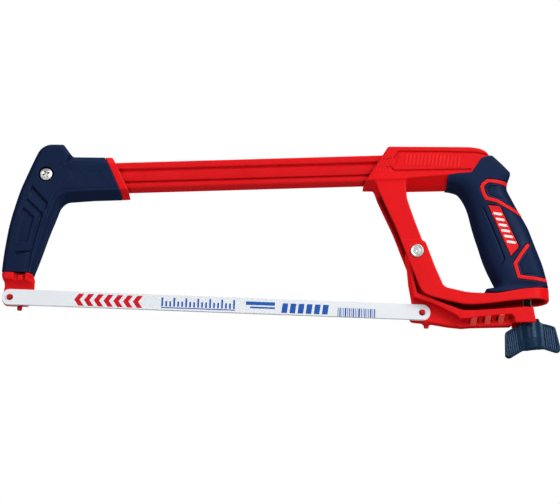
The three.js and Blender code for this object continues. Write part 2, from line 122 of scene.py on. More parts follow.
def rounded(points, steps=8):
    """Rounds the corners of an outline; a third number is how far back the rounding starts."""
    corner = [np.array(p[:2], float) for p in points]
    out = []
    for i, point in enumerate(points):
        c, a, b = corner[i], corner[i - 1], corner[(i + 1) % len(points)]
        la, lb = np.linalg.norm(a - c), np.linalg.norm(b - c)
        r = min(point[2] if len(point) > 2 else 0, 0.49 * la, 0.49 * lb)
        if r <= 0:
            out.append(c)
            continue
        s, e = c + (a - c) * r / la, c + (b - c) * r / lb
        for t in np.linspace(0, 1, steps + 1):
            out.append((1 - t) ** 2 * s + 2 * t * (1 - t) * c + t * t * e)
    return np.array(out)


def smooth(points, closed=False, steps=6):
    """A Catmull-Rom curve through the points."""
    p = np.array(points, float)
    if closed:
        p = np.vstack([p[-1], p, p[:2]])
    else:
        p = np.vstack([2 * p[0] - p[1], p, 2 * p[-1] - p[-2]])
    out = []
    for i in range(1, len(p) - 2):
        for t in np.arange(steps) / steps:
            a, b, c, d = p[i - 1], p[i], p[i + 1], p[i + 2]
            out.append(0.5 * (2 * b + (c - a) * t + (2 * a - 5 * b + 4 * c - d) * t * t
                              + (3 * b - a - 3 * c + d) * t ** 3))
    if not closed:
        out.append(p[-2])
    return np.array(out)


def smax(a, b, k):
    h = np.maximum(k - np.abs(a - b), 0) / k
    return np.maximum(a, b) + h * h * k / 4


def smin(a, b, k):
    return -smax(-a, -b, k)


def extrude(flat, side, r=0.0):
    """Joins a side-view distance and a sideways one, with a round edge between them."""
    if r <= 0:
        return np.maximum(flat, side)
    a = flat + r
    b = side + r
    return np.minimum(np.maximum(a, b), 0) + np.hypot(np.maximum(a, 0), np.maximum(b, 0)) - r


def bevel(flat, side, deep, wide):
    """The plane that cuts an edge deep into the side view and wide across the saw."""
    return (flat * wide + side * deep + deep * wide) / math.hypot(deep, wide)


def groove(body, line, side, width, depth, k=0.25):
    """Cuts a moulded line into a side face."""
    cut = np.maximum(line - width / 2, -(side + depth))
    return smax(body, -cut, k)


def ramp(distance, width):
    """Eases from 0 to 1 over a width."""
    t = np.clip(distance / width, 0, 1)
    return t * t * (3 - 2 * t)


def left_of(g, a, b):
    """Distance to the left of the line from a to b, in the side view."""
    ex, ez = b[0] - a[0], b[1] - a[1]
    return ((g.z - a[1]) * ex - (g.x - a[0]) * ez) / math.hypot(ex, ez)


def sunk(body, side, depth, k=0.25):
    """Lowers a side face by a depth that varies over the side view."""
    return smax(body, side + depth, k)


# ------------------------------------------------------------------ meshes
def linked(name, data):
    obj = bpy.data.objects.new(name, data)
    bpy.context.scene.collection.objects.link(obj)
    return obj


def new_object(name, mesh, material, body, *replaced, slot=None):
    obj = linked(name, mesh)
    mesh.materials.append(material)
    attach(obj, body)
    if replaced:
        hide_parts(*replaced)
    return obj


def to_world(points):
    return (np.asarray(points, float) + [0, MID, 0]) / 1000


BAND = 3.0       # how far the field is kept either side of the surface, in grid steps
MAX_SHIFT = 0.35  # the most a vertex moves when it is drawn onto the field's zero, in steps
MERGE = 0.16     # vertices closer than this are merged, in steps


def skin(name, field, grid, material, body, *replaced, slot=None):
    """Turns a distance field into a smooth mesh."""
    field = np.ascontiguousarray(np.broadcast_to(field, grid.shape), np.float32)
    volume = vdb.FloatGrid(BAND)
    volume.copyFromArray(np.clip(field / grid.step, -BAND, BAND))
    points, tris, quads = volume.convertToPolygons(isovalue=0.0, adaptivity=0.0)
    points = np.asarray(points, np.float64)
    place = points.copy()
    gx, gy, gz = np.gradient(field)
    index = np.clip(np.floor(points).astype(int), 0, np.array(grid.shape) - 2)
    part = points - index
    normal = np.zeros_like(points)
    value = np.zeros(len(points))
    for corner in np.ndindex(2, 2, 2):
        w = np.prod(np.where(corner, part, 1 - part), axis=1)
        at = tuple((index + corner).T)
        normal += np.stack([gx[at], gy[at], gz[at]], 1) * w[:, None]
        value += field[at] * w
    size = np.maximum(np.linalg.norm(normal, axis=1, keepdims=True), 1e-6)
    shift = np.clip(value / size[:, 0], -MAX_SHIFT, MAX_SHIFT)
    place -= normal / size * shift[:, None]
    world = to_world(grid.low + place * grid.step)
    mesh = bpy.data.meshes.new(name)
    faces = [list(map(int, q[::-1])) for q in np.asarray(quads)]
    faces += [list(map(int, t[::-1])) for t in np.asarray(tris)]
    mesh.from_pydata(world.tolist(), [], faces)
    check = bmesh.new()
    check.from_mesh(mesh)
    bmesh.ops.remove_doubles(check, verts=check.verts, dist=grid.step * MERGE / 1000)
    if check.calc_volume(signed=True) < 0:
        bmesh.ops.reverse_faces(check, faces=check.faces)
    check.to_mesh(mesh)
    check.free()
    mesh.polygons.foreach_set("use_smooth", [True] * len(mesh.polygons))
    return new_object(name, mesh, material, body, *replaced, slot=slot)


def plain_mesh(name, verts, faces, material, body, *replaced, slot=None, smooth_angle=None):
    mesh = bpy.data.meshes.new(name)
    mesh.from_pydata([tuple(v) for v in to_world(verts)], [], faces)
    work = bmesh.new()
    work.from_mesh(mesh)
    bmesh.ops.remove_doubles(work, verts=work.verts, dist=1e-7)
    bmesh.ops.recalc_face_normals(work, faces=work.faces)
    work.to_mesh(mesh)
    work.free()
    obj = new_object(name, mesh, material, body, *replaced, slot=slot)
    if smooth_angle is not None:
        mesh.polygons.foreach_set("use_smooth", [True] * len(mesh.polygons))
        mesh.set_sharp_from_angle(angle=math.radians(smooth_angle))
    return obj


def lathe(profile, sides, place, axis):
    """Turns an (r, h) profile round an axis through place. Starts and ends on the axis."""
    axis = Vector(axis).normalized()
    turn = Vector((0, 0, 1)).rotation_difference(axis).to_matrix()
    verts, faces, rings = [], [], []
    for r, h in profile:
        if r < 1e-6:
            rings.append([len(verts)])
            verts.append(tuple(turn @ Vector((0, 0, h)) + Vector(place)))
            continue
        ring = []
        for i in range(sides):
            a = 2 * math.pi * i / sides
            ring.append(len(verts))
            v = turn @ Vector((r * math.cos(a), r * math.sin(a), h))
            verts.append(tuple(v + Vector(place)))
        rings.append(ring)
    for low, high in zip(rings[:-1], rings[1:]):
        for i in range(sides):
            j = (i + 1) % sides
            if len(low) == 1:
                faces.append((low[0], high[i], high[j]))
            elif len(high) == 1:
                faces.append((low[i], high[0], low[j]))
            else:
                faces.append((low[i], high[i], high[j], low[j]))
    return verts, faces


# ------------------------------------------------------------------ materials
class Nodes:
    """A short way to write a node material."""

    def __init__(self, name):
        self.material = bpy.data.materials.new(name)
        self.material.use_nodes = True
        self.tree = self.material.node_tree
        self.tree.nodes.clear()
        self.out = self.add("ShaderNodeOutputMaterial")
        self.shader = self.add("ShaderNodeBsdfPrincipled")
        self.link(self.shader, "BSDF", self.out, "Surface")
        self.coords = self.add("ShaderNodeTexCoord")

    def add(self, kind, **values):
        node = self.tree.nodes.new(kind)
        for key, value in values.items():
            setattr(node, key, value)
        return node

    def link(self, a, out, b, into):
        self.tree.links.new(a.outputs[out], b.inputs[into])

    def set(self, **values):
        for key, value in values.items():
            self.shader.inputs[key.replace("_", " ")].default_value = value

    def noise(self, scale, detail=3.0, rough=0.5, stretch=None):
        node = self.add("ShaderNodeTexNoise")
        node.inputs["Scale"].default_value = scale
        node.inputs["Detail"].default_value = detail
        node.inputs["Roughness"].default_value = rough
        self.place(node, stretch)
        return node

    def voronoi(self, scale, feature="F1", stretch=None):
        node = self.add("ShaderNodeTexVoronoi", feature=feature)
        node.inputs["Scale"].default_value = scale
        self.place(node, stretch)
        return node

    def place(self, node, stretch):
        if stretch:
            mapping = self.add("ShaderNodeMapping")
            mapping.inputs["Scale"].default_value = stretch
            self.link(self.coords, "Object", mapping, "Vector")
            self.link(mapping, "Vector", node, "Vector")
        else:
            self.link(self.coords, "Object", node, "Vector")

    def ramp(self, source, out, stops):
        node = self.add("ShaderNodeValToRGB")
        while len(node.color_ramp.elements) < len(stops):
            node.color_ramp.elements.new(0.5)
        for element, (at, color) in zip(node.color_ramp.elements, stops):
            element.position = at
            element.color = (*color, 1) if len(color) == 3 else color
        self.link(source, out, node, "Fac")
        return node

    def math(self, operation, a, b=None, out_a=0, out_b=0):
        node = self.add("ShaderNodeMath", operation=operation)
        for i, (value, out) in enumerate(((a, out_a), (b, out_b))):
            if value is None:
                continue
            if isinstance(value, (int, float)):
                node.inputs[i].default_value = value
            else:
                self.tree.links.new(value.outputs[out], node.inputs[i])
        return node

    def mix(self, factor, a, b, blend="MIX"):
        node = self.add("ShaderNodeMix", data_type="RGBA", blend_type=blend)
        for socket, value in ((0, factor), (6, a), (7, b)):
            if isinstance(value, tuple):
                node.inputs[socket].default_value = (*value, 1)
            elif isinstance(value, (int, float)):
                node.inputs[socket].default_value = value
            else:
                out = 2 if value.bl_idname == "ShaderNodeMix" else 0
                self.tree.links.new(value.outputs[out], node.inputs[socket])
        return node

    def color(self, mixed):
        """Takes a mix as the shader's base colour."""
        self.tree.links.new(mixed.outputs[2], self.shader.inputs["Base Color"])

    def roughness(self, source, low, high):
        """Spreads the roughness from low to high over a noise."""
        node = self.ramp(source, "Fac", [(0.3, (low,) * 3), (0.7, (high,) * 3)])
        self.link(node, "Color", self.shader, "Roughness")
        return node

    def level(self, source, out, start, end, top=1.0):
        """Runs from 0 at start to top at end."""
        node = self.add("ShaderNodeMapRange")
        node.inputs["From Min"].default_value = start
        node.inputs["From Max"].default_value = end
        node.inputs["To Max"].default_value = top
        self.link(source, out, node, "Value")
        return node

    def occlusion(self, reach, **how):
        node = self.add("ShaderNodeAmbientOcclusion", samples=8, **how)
        node.inputs["Distance"].default_value = reach
        return node

    def bump(self, height, out, strength, distance, before=None):
        node = self.add("ShaderNodeBump")
        node.inputs["Strength"].default_value = strength
        node.inputs["Distance"].default_value = distance
        self.link(height, out, node, "Height")
        if before:
            self.link(before, "Normal", node, "Normal")
        self.link(node, "Normal", self.shader, "Normal")
        return node

    def edges(self, reach):
        """White on proud edges, where little material lies behind the surface."""
        shade = self.occlusion(reach, inside=True, only_local=True)
        return self.level(shade, "AO", 0.90, 0.50)

    def sheen(self, roughness, relief, tint, amount):
        """An even gloss, which doesn't whiten where the surface is seen edge-on."""
        self.set(Specular_IOR_Level=0.0)
        glossy = self.add("ShaderNodeBsdfGlossy")
        glossy.inputs["Color"].default_value = (*tint, 1)
        self.link(roughness, "Color", glossy, "Roughness")
        self.link(relief, "Normal", glossy, "Normal")
        both = self.add("ShaderNodeMixShader")
        both.inputs["Fac"].default_value = amount
        self.tree.links.new(self.shader.outputs["BSDF"], both.inputs[1])
        self.tree.links.new(glossy.outputs["BSDF"], both.inputs[2])
        self.link(both, "Shader", self.out, "Surface")


def painted_crevice_shade(n, base, hollow, reach, amount, start=0.62):
    """Painted shade: darkens seams and hollows, where shade falls."""
    return n.mix(n.level(n.occlusion(reach), "AO", start, 0.16, amount), base, hollow)


def srgb(r, g, b):
    return tuple((c / 12.92 if c <= 0.04045 else ((c + 0.055) / 1.055) ** 2.4)
                 for c in (r / 255, g / 255, b / 255))


def painted(name, color, rough, proud, hollow, wear_and_painted_light=True):
    """Powder coat on cast metal: orange peel, faint mottling, proud edges lighter partly as thin
    worn coat and partly as painted highlight, painted shade in hollows and deep inside.
    """
    n = Nodes(name)
    mottle = n.noise(38, 4, 0.6)
    tone = n.ramp(mottle, "Fac", [(0.3, tuple(c * 0.90 for c in color)), (0.7, color)])
    speck = n.noise(2600, 2, 0.6)
    dots = n.ramp(speck, "Fac", [(0.28, (0.82,) * 3), (0.4, (1, 1, 1))])
    base = n.mix(1.0, tone, dots, "MULTIPLY")
    if wear_and_painted_light:
        # Proud edges turn lighter: partly a thin worn coat, partly a painted highlight.
        edge = n.edges(0.0011)
        scuff = n.noise(120, 5, 0.7)
        gate = n.ramp(scuff, "Fac", [(0.35, (0.35,) * 3), (0.7, (1, 1, 1))])
        amount = n.math("MULTIPLY", edge, gate)
        base = n.mix(n.math("MULTIPLY", amount, 0.55), base, proud)
        # Painted shade: deep inside a casting, and in its seams and hollows, the colour is darkened
        # where little light reaches.
        inside = n.add("ShaderNodeAttribute", attribute_name="inside")
        base = n.mix(inside, base, srgb(132, 6, 12))
        base = painted_crevice_shade(n, base, tuple(c * 0.5 for c in hollow), 0.006, 0.85)
    n.color(base)
    gloss = n.roughness(n.noise(90, 4, 0.6), rough - 0.05, rough + 0.07)
    peel = n.bump(n.noise(900, 2, 0.5), "Fac", 0.10, 0.0004)
    relief = n.bump(speck, "Fac", 0.05, 0.0002, peel)
    n.sheen(gloss, relief, (1.0, 0.42, 0.40), 0.016)
    return n.material


def rubber(name, color, proud, hollow, grain=1500, rough=0.55, strength=0.25,
           gleam=(0.45, 0.62, 1.0), sheen=0.018):
    """Moulded soft rubber: fine spark-eroded grain, painted shade in hollows, painted highlight on
    proud edges.
    """
    n = Nodes(name)
    mottle = n.noise(45, 4, 0.6)
    tone = n.ramp(mottle, "Fac", [(0.3, tuple(c * 0.86 for c in color)), (0.72, color)])
    # Proud edges are painted lighter as a highlight, and hollows painted darker as shade.
    edge = n.edges(0.0011)
    base = n.mix(n.math("MULTIPLY", edge, 0.40), tone, proud)
    base = painted_crevice_shade(n, base, tuple(c * 0.45 for c in hollow), 0.005, 1.0, 0.86)
    n.color(base)
    worn = n.roughness(n.noise(70, 4, 0.6), rough - 0.08, rough + 0.07)
    cells = n.voronoi(grain, "SMOOTH_F1")
    first = n.bump(cells, "Distance", strength, 0.0003)
    relief = n.bump(n.noise(grain * 2.3, 2, 0.6), "Fac", strength * 0.6, 0.0002, first)
    n.sheen(worn, relief, gleam, sheen)
    return n.material


def metal(name, color, rough):
    """Plated steel with turning or brushing marks."""
    n = Nodes(name)
    tarnish = n.noise(260, 5, 0.65)
    tone = n.ramp(tarnish, "Fac", [(0.25, tuple(c * 0.72 for c in color)), (0.6, color)])
    # Hollows are painted darker as shade.
    base = painted_crevice_shade(n, tone, (0.02, 0.02, 0.025), 0.0018, 1.0, 0.80)
    n.color(base)
    marks = n.noise(900, 3, 0.6, stretch=(1, 1, 14))
    n.roughness(marks, rough - 0.08, rough + 0.12)
    n.bump(marks, "Fac", 0.12, 0.0002)
    n.set(Metallic=1.0)
    return n.material


def blade_paint(name):
    """White paint over the blade, left off its teeth."""
    n = Nodes(name)
    color = (0.80, 0.84, 0.87)
    mottle = n.noise(60, 5, 0.6, stretch=(0.2, 1, 1))
    tone = n.ramp(mottle, "Fac", [(0.3, tuple(c * 0.95 for c in color)), (0.7, color)])
    lines = n.noise(2200, 2, 0.6, stretch=(0.02, 1, 1))
    split = n.add("ShaderNodeSeparateXYZ")
    n.link(n.coords, "Object", split, "Vector")
    bare = n.level(split, "Z", -0.00545, -0.0057)
    base = n.mix(bare, tone, (0.42, 0.43, 0.44))
    n.color(base)
    n.roughness(lines, 0.26, 0.36)
    n.link(bare, "Result", n.shader, "Metallic")
    n.bump(lines, "Fac", 0.04, 0.0001)
    n.set(Coat_Weight=0.4, Coat_Roughness=0.2)
    return n.material


# Besides its own colour, each paint or rubber below takes a lighter colour for its proud edges (a
# painted highlight, partly wear on paint) and a darker one for painted shade in hollows.
RED = srgb(226, 18, 24)
red_cast = painted("red_cast_paint", RED, 0.40, srgb(246, 74, 66), srgb(96, 8, 14))
red_tube = painted("red_beam_paint", srgb(216, 22, 28), 0.30, srgb(244, 70, 62), srgb(120, 8, 14))
red_pin = painted("red_pin_paint", srgb(196, 20, 26), 0.30, srgb(240, 90, 80), srgb(96, 6, 12))
red_inlay = rubber("red_inlay_plastic", srgb(226, 30, 34), srgb(250, 86, 76), srgb(110, 12, 20),
                   grain=2400, rough=0.48, strength=0.08, gleam=(1.0, 0.45, 0.42))
navy = rubber("navy_rubber", srgb(9, 24, 54), srgb(72, 98, 150), srgb(2, 5, 15))
navy_hard = rubber("navy_plastic", srgb(9, 38, 66), srgb(120, 160, 200), srgb(2, 6, 14),
                   grain=2600, rough=0.28, strength=0.05, gleam=(0.55, 0.78, 1.0),
                   sheen=0.03)
# A lighter red that paints in light falling on the lever's blocks from below.
red_painted_lit = painted("red_cast_painted_lit", srgb(255, 84, 70), 0.5, srgb(255, 110, 96), srgb(190, 24, 24))
steel = metal("zinc_steel", (0.86, 0.85, 0.83), 0.30)
rivet_steel = metal("rivet_steel", (0.58, 0.60, 0.58), 0.34)
dark_steel = metal("black_steel", (0.10, 0.105, 0.10), 0.34)
brass = metal("turned_brass", (0.72, 0.55, 0.25), 0.28)
white_plastic = rubber("white_plastic", srgb(236, 236, 232), srgb(250, 250, 250),
                       srgb(150, 150, 150), grain=2600, rough=0.4, strength=0.05,
                       gleam=(1.0, 1.0, 1.0))
white_paint = blade_paint("blade_paint")
blue_print = painted("blue_blade_print", srgb(34, 92, 176), 0.35, srgb(60, 120, 200),
                     srgb(20, 60, 130), wear_and_painted_light=False)
red_print = painted("red_blade_print", srgb(206, 24, 40), 0.35, srgb(220, 60, 70),
                    srgb(120, 10, 20), wear_and_painted_light=False)


# ------------------------------------------------------------------ beam
def beam_mid(x):
    """Height of the beam's axis, which rises towards the handle."""
    return 99.25 + x * math.tan(math.radians(3.95))


def beam_room(g):
    """The space the beam needs within a sleeve."""
    return np.maximum(np.abs(g.y) - 7.9, np.abs(g.z - beam_mid(g.x)) - 10.7)


def make_beam():
    half = [(0.0, -10.2), (6.0, -10.2), (6.5, -10.05), (7.4, -9.1), (7.5, -8.8), (7.5, -7.0),
            (7.3, -6.6), (5.8, -5.95), (5.3, -5.55), (5.4, -5.15), (6.9, -4.3), (7.05, -4.0),
            (7.05, 2.2), (6.9, 2.5), (5.5, 3.3), (5.25, 3.75), (5.5, 4.2), (7.25, 5.0),
            (7.5, 5.35), (7.5, 7.0), (7.4, 7.2), (7.0, 8.6), (6.6, 9.5), (6.0, 10.05),
            (5.2, 10.2), (0.0, 10.2)]
    outer = half[1:-1] + [(-y, h) for y, h in reversed(half[1:-1])]
    stations = np.linspace(-134.5, 179, 60)
    verts, faces = [], []
    n = len(outer)
    for x in stations:
        verts += [(x, y, beam_mid(x) + h) for y, h in outer]
    for k in range(len(stations) - 1):
        for i in range(n):
            j = (i + 1) % n
            a = k * n
            faces.append((a + i, a + j, a + n + j, a + n + i))
    last = (len(stations) - 1) * n
    faces.append(tuple(reversed(range(n))))
    faces.append(tuple(range(last, last + n)))
    plain_mesh("beam_extrusion", verts, faces, red_tube, "frame", "beam", slot="frame_paint",
               smooth_angle=32)


# ------------------------------------------------------------------ front arm
LEG_INNER = [(-72, 78.9), (-93.8, 77.4), (-113.5, 75.2, 4), (-118.4, 71.4, 4), (-122.7, 58.4, 5),
             (-125.5, 49.5, 5), (-129.1, 36, 5), (-131.5, 27.5, 4)]
ARM = rounded([
    (-110.7, 106.4, 2.2), (-81, 107.4, 0.6), (-67.2, 80.6, 0.6), *LEG_INNER,
    (-134.6, 17.5, 1), (-133.2, 13.4, 1), (-133.6, 10.4, 0.6),
    (-155.6, 10.4, 0.6), (-156.9, 17.5, 1.5), (-156.3, 27, 4), (-155.4, 36, 5), (-153.4, 51, 6),
    (-150.6, 63.6, 6), (-146.8, 78.5, 6), (-141.5, 92.9, 6), (-138, 102, 4), (-134.7, 110.0, 4),
    (-129, 114.3, 4), (-117.1, 114.6, 0.8)])


def arm_half(z):
    return 10.6 + 4.4 * np.clip((z - 17) / 43, 0, 1)


ARM_INNER = rounded([(-50, 80.7), *LEG_INNER, (-134.6, 17.5), (-137, 8), (-200, 8), (-200, 200),
                     (-50, 200)])
ARM_OUTER = [(-157.2, 4), (-156.9, 17.5), (-156.3, 27), (-155.4, 36), (-153.4, 51), (-150.6, 63.6),
             (-146.8, 78.5), (-141.5, 92.9), (-138, 102), (-134.7, 110.0), (-132.4, 112.2),
             (-129, 113.9), (-124, 114.5), (-117.4, 114.7), (-112.4, 108.4)]


def arm_field(g):
    """The arm's whole outer shape, with its bevelled sides."""
    side = np.abs(g.y) - arm_half(g.z)
    body = extrude(g.flat(ARM), side, 1.0)
    # One bevel runs along the sleeve's underside and down the leg's inner edge.
    wide = 4.2 + 4.05 * ramp(g.x + 121, 8)
    inner = g.flat(ARM_INNER)
    deep = 2.6
    face = (inner * wide + side * deep + deep * wide) / np.hypot(deep, wide)
    body = smax(body, face, 0.5)
    outer = g.line(ARM_OUTER)
    body = smax(body, bevel(-outer, side, 3.0, 2.3), 0.6)
    # Above, the sleeve is eight-sided, up to the hump's slanting flank.
    free = 1.5 * np.maximum(left_of(g, (-116.6, 97.0), (-109.2, 106.9)), 0)
    mid = 97.6 + 0.013 * (g.x + 86)
    above = ((np.abs(g.y) - 15) * 3.9 + (g.z - mid) * 1.5) / math.hypot(3.9, 1.5)
    upper = ((np.abs(g.y) - 13.5) * 5.4 + (g.z - mid - 3.9) * 5.0) / math.hypot(5.4, 5.0)
    body = smax(smax(body, above - free, 0.4), upper - free, 0.5)
    return body, side


LEDGE_1 = [(-138.9, 83.6), (-136.5, 81.1), (-125.2, 69.4), (-125.8, 65.1), (-128.5, 61.5),
           (-141.4, 73.0), (-140.9, 78.8)]
LEDGE_2 = [(-141.5, 72.9), (-128.7, 61.3), (-131.2, 56.4), (-134.6, 59.6), (-143.4, 67.4)]
PANEL = [(-144.6, 66.0), (-141.6, 64.2), (-134.9, 58.3), (-137.0, 49.4), (-138.8, 39.9),
         (-148.3, 39.6), (-147.3, 55.8)]
SLOT = [(-148.2, 32.4), (-137.2, 33.5), (-136.0, 32.6), (-147.6, 29.6)]
VALLEY = [(-128.2, 64), (-129.9, 60.3), (-131.4, 54), (-133.8, 44), (-136.1, 33), (-137.5, 21),
          (-138.2, 8), (-190, 8), (-190, 64)]


def arm_relief(g):
    """How far each spot of the leg's side face is sunk."""
    d1 = left_of(g, (-125.2, 69.4), (-138.9, 83.6))
    one = 2.9 * np.clip(1 - d1 / 8.8, 0, 1) * ramp(-g.flat(LEDGE_1), 2.0)
    one = one * ramp(-left_of(g, (-141.8, 73.0), (-139.2, 84.4)), 2.8)
    d2 = left_of(g, (-128.7, 61.3), (-141.5, 72.9))
    two = 2.3 * np.clip(1 - d2 / 5.6, 0, 1) * ramp(-g.flat(LEDGE_2), 1.5)
    d3 = left_of(g, (-134.9, 58.3), (-144.6, 66.0))
    three = (1.1 + 1.0 * np.clip(1 - d3 / 8, 0, 1)) * ramp(-g.flat(PANEL), 1.3)
    three = three * ramp(-left_of(g, (-148.3, 39.6), (-145.0, 66.0)), 2.2)
    d4 = left_of(g, (-137.2, 33.5), (-148.2, 32.4))
    four = 2.1 * np.clip(1 - d4 / 3.2, 0, 1) * ramp(-g.flat(SLOT), 0.7)
    valley = g.flat(VALLEY)
    five = 1.5 * ramp(valley + 3.4, 3.4) * ramp(1.1 - valley, 1.1) * ramp(62.5 - g.z, 4)
    rim = g.line([(-142.6, 70.2), (-145.2, 63.5), (-147.6, 52.5), (-149.2, 42.5), (-150.4, 33.4)])
    six = 0.35 * (1 - ramp(rim, 0.8))
    # A patch of fine dimples on the sleeve.
    spot = [(-112.5, 95.5), (-88.5, 95.8), (-84.0, 86.8), (-108.5, 84.6)]
    wave = np.sin(g.x * 2 * math.pi / 2.9) * np.sin((g.z - 0.02 * g.x) * 2 * math.pi / 2.9)
    seven = 0.45 * (0.5 - 0.5 * wave) * ramp(-g.flat(spot), 1.5)
    return one + two + three + four + five + six + seven


MOUTH = [(-89.2, 112), (-86.8, 107.4), (-73.2, 80.0), (-68.0, 70)]


def mouth_distance(g):
    """Positive behind the slanted edge of the soft skin, on the beam's side."""
    a, b = np.array(MOUTH[1]), np.array(MOUTH[2])
    n = np.array([a[1] - b[1], b[0] - a[0]])
    n = n / np.linalg.norm(n)
    return (g.x - a[0]) * n[0] + (g.z - a[1]) * n[1]


def make_front_grip():
    g = Grid((-159, -16.5, 13), (-70, 16.5, 117), 0.46)
    body, side = arm_field(g)
    body = smax(body, mouth_distance(g) + 0.15, 0.5)
    body = smax(body, 17.6 - g.z, 0.5)
    body = sunk(body, side, arm_relief(g) - 0.02)
    line = smooth([(-76, 82.6), (-95, 81.3), (-110, 80.2), (-117.6, 78.6), (-122.4, 74.4),
                   (-125.0, 67.4), (-127.3, 57.5), (-130.4, 46.5), (-133.6, 34.5), (-136.3, 21)])
    body = groove(body, g.line(line), side, 0.8, 0.35, 0.4)
    for low, high, sunk_by in (((-117.4, 97.3), (-86.4, 97.7), 0.0),
                               ((-110.3, 101.1), (-88.2, 101.6), 1.5)):
        body = groove(body, g.line([low, high]), side + sunk_by, 1.3, 0.55, 0.4)
    # The screw's recess.
    hole = np.hypot(g.x - SCREW_X, g.z - SCREW_Z) - 5.6
    body = smax(body, -np.maximum(hole, 12.5 - np.abs(g.y)), 0.7)
    skin("front_arm_soft_skin", body, g, navy, "frame", "front_arm_grip", slot="soft_grip")


def make_front_arm():
    g = Grid((-159, -16.5, -8), (-65.5, 16.5, 110), 0.46)
    body, side = arm_field(g)
    strip = smax(body + 0.05, -mouth_distance(g) + 0.05, 0.4)
    # The collar at the foot: two bumps with a lower block between them.
    scoop = 3.0 * ramp(g.x + 149.0, 3.0) * ramp(-138.6 - g.x, 2.4)
    block = 1.9 * ramp(g.x + 145.7, 0.8) * ramp(-140.9 - g.x, 0.8) * ramp(16.3 - g.z, 0.8)
    foot = smax(body, g.z - 17.4, 0.9)
    foot = sunk(foot, side, scoop - block, 0.8)
    foot = smax(foot, 11.6 - g.z - 0.03 * (g.x + 145), 1.2)
    post_outline = rounded([(-134.0, 13), (-133.8, 9.3, 2), (-133.0, 4.6, 2), (-136.2, -5.3, 3),
                            (-153.4, -5.3, 3.4), (-155.8, -3.4, 2), (-155.7, 0, 2),
                            (-155.0, 4.4, 2), (-154.4, 8.2, 2), (-155, 13)])
    flare = np.clip((g.z - 5) / 6, 0, 1) ** 2
    post_side = np.maximum(-4.4 - 3.2 * flare - g.y, g.y - 4.6 - 3.2 * flare)
    post = extrude(g.flat(post_outline), post_side, 0.7)
    foot = smin(foot, post, 1.2)
    # The core under the soft skin joins the sleeve's strip to the foot.
    core = body + 4.2
    whole = np.minimum(np.minimum(strip, foot), np.maximum(core, 12 - g.z))
    whole = np.maximum(whole, -beam_room(g))
    skin("front_arm_casting", whole, g, red_cast, "frame", "front_arm", slot="frame_paint")


# ------------------------------------------------------------------ rear frame
SLEEVE = rounded([
    (104.2, 92.6, 0.8), (106.3, 95.9, 0.5), (113, 107.4, 0.5), (121.8, 121.8, 0.8),
    (160.1, 123.1), (182.9, 123.8, 3), (189.6, 122.9, 2), (194.2, 120.8, 2), (197.4, 116.4, 1),
    (200, 112), (205, 100), (196, 95), (172, 94.8), (165, 94.9), (136, 93.2)])
STRUT = rounded([
    (112.2, 99), (112.4, 96), (113.9, 92.5, 2), (115.8, 87.3, 2), (120.5, 77.5, 3), (128.2, 61.9, 4),
    (135.9, 43.4, 4), (143.6, 25, 4), (146.6, 17.6, 2), (149.6, 12.7, 2), (155.4, 10.2, 2),
    (167.8, 7.3, 4), (180.8, 4.9, 6), (191.1, 5.6, 5), (205.5, 7.7, 5), (216.4, 9.6, 5),
    (230.7, 11.2, 4), (242.6, 11.8, 0.8), (241.6, 20.6, 0.6), (234.3, 19.6), (227.1, 18.9, 3),
    (219.8, 17.8, 3), (212.6, 16.2, 3), (203.2, 14.1, 3), (195.4, 13.9, 3), (185.2, 13.9, 3),
    (180.1, 14.3, 3), (172.8, 15.8, 3), (166.6, 17.0, 1.4), (164.2, 18.8, 1), (158, 32.3),
    (150.9, 50.3, 0.7), (148.6, 51.4, 0.7), (142.7, 65.9, 4), (138.8, 76.4, 3), (136.4, 83.5, 3),
    (135.7, 91, 2), (135.2, 95), (135.0, 99)])
SLEEVE_HALF, HOLLOW_HALF = 15.5, 12.9
HOLLOW = rounded([
    (95, 88.4), (120, 88.4), (130.6, 85, 3), (145.0, 51.4), (148.6, 48.6, 1), (160.8, 20.0),
    (163.6, 13.9, 2), (172, 12.6), (185, 11, 6), (204, 11.2, 2), (213, 13.3), (227, 16),
    (246, 17), (246, -10), (140, -10), (95, 60)])


def ellipse_end(x, y, reach, x_radius, half):
    """Rounds a solid's rear end in plan."""
    over = np.maximum(x - (reach - x_radius), 0) / x_radius
    return (np.hypot(over, np.abs(y) / half) - 1) * min(x_radius, half)


def hollow_end(x, y):
    return ellipse_end(x, y, 240.2, 11, HOLLOW_HALF)


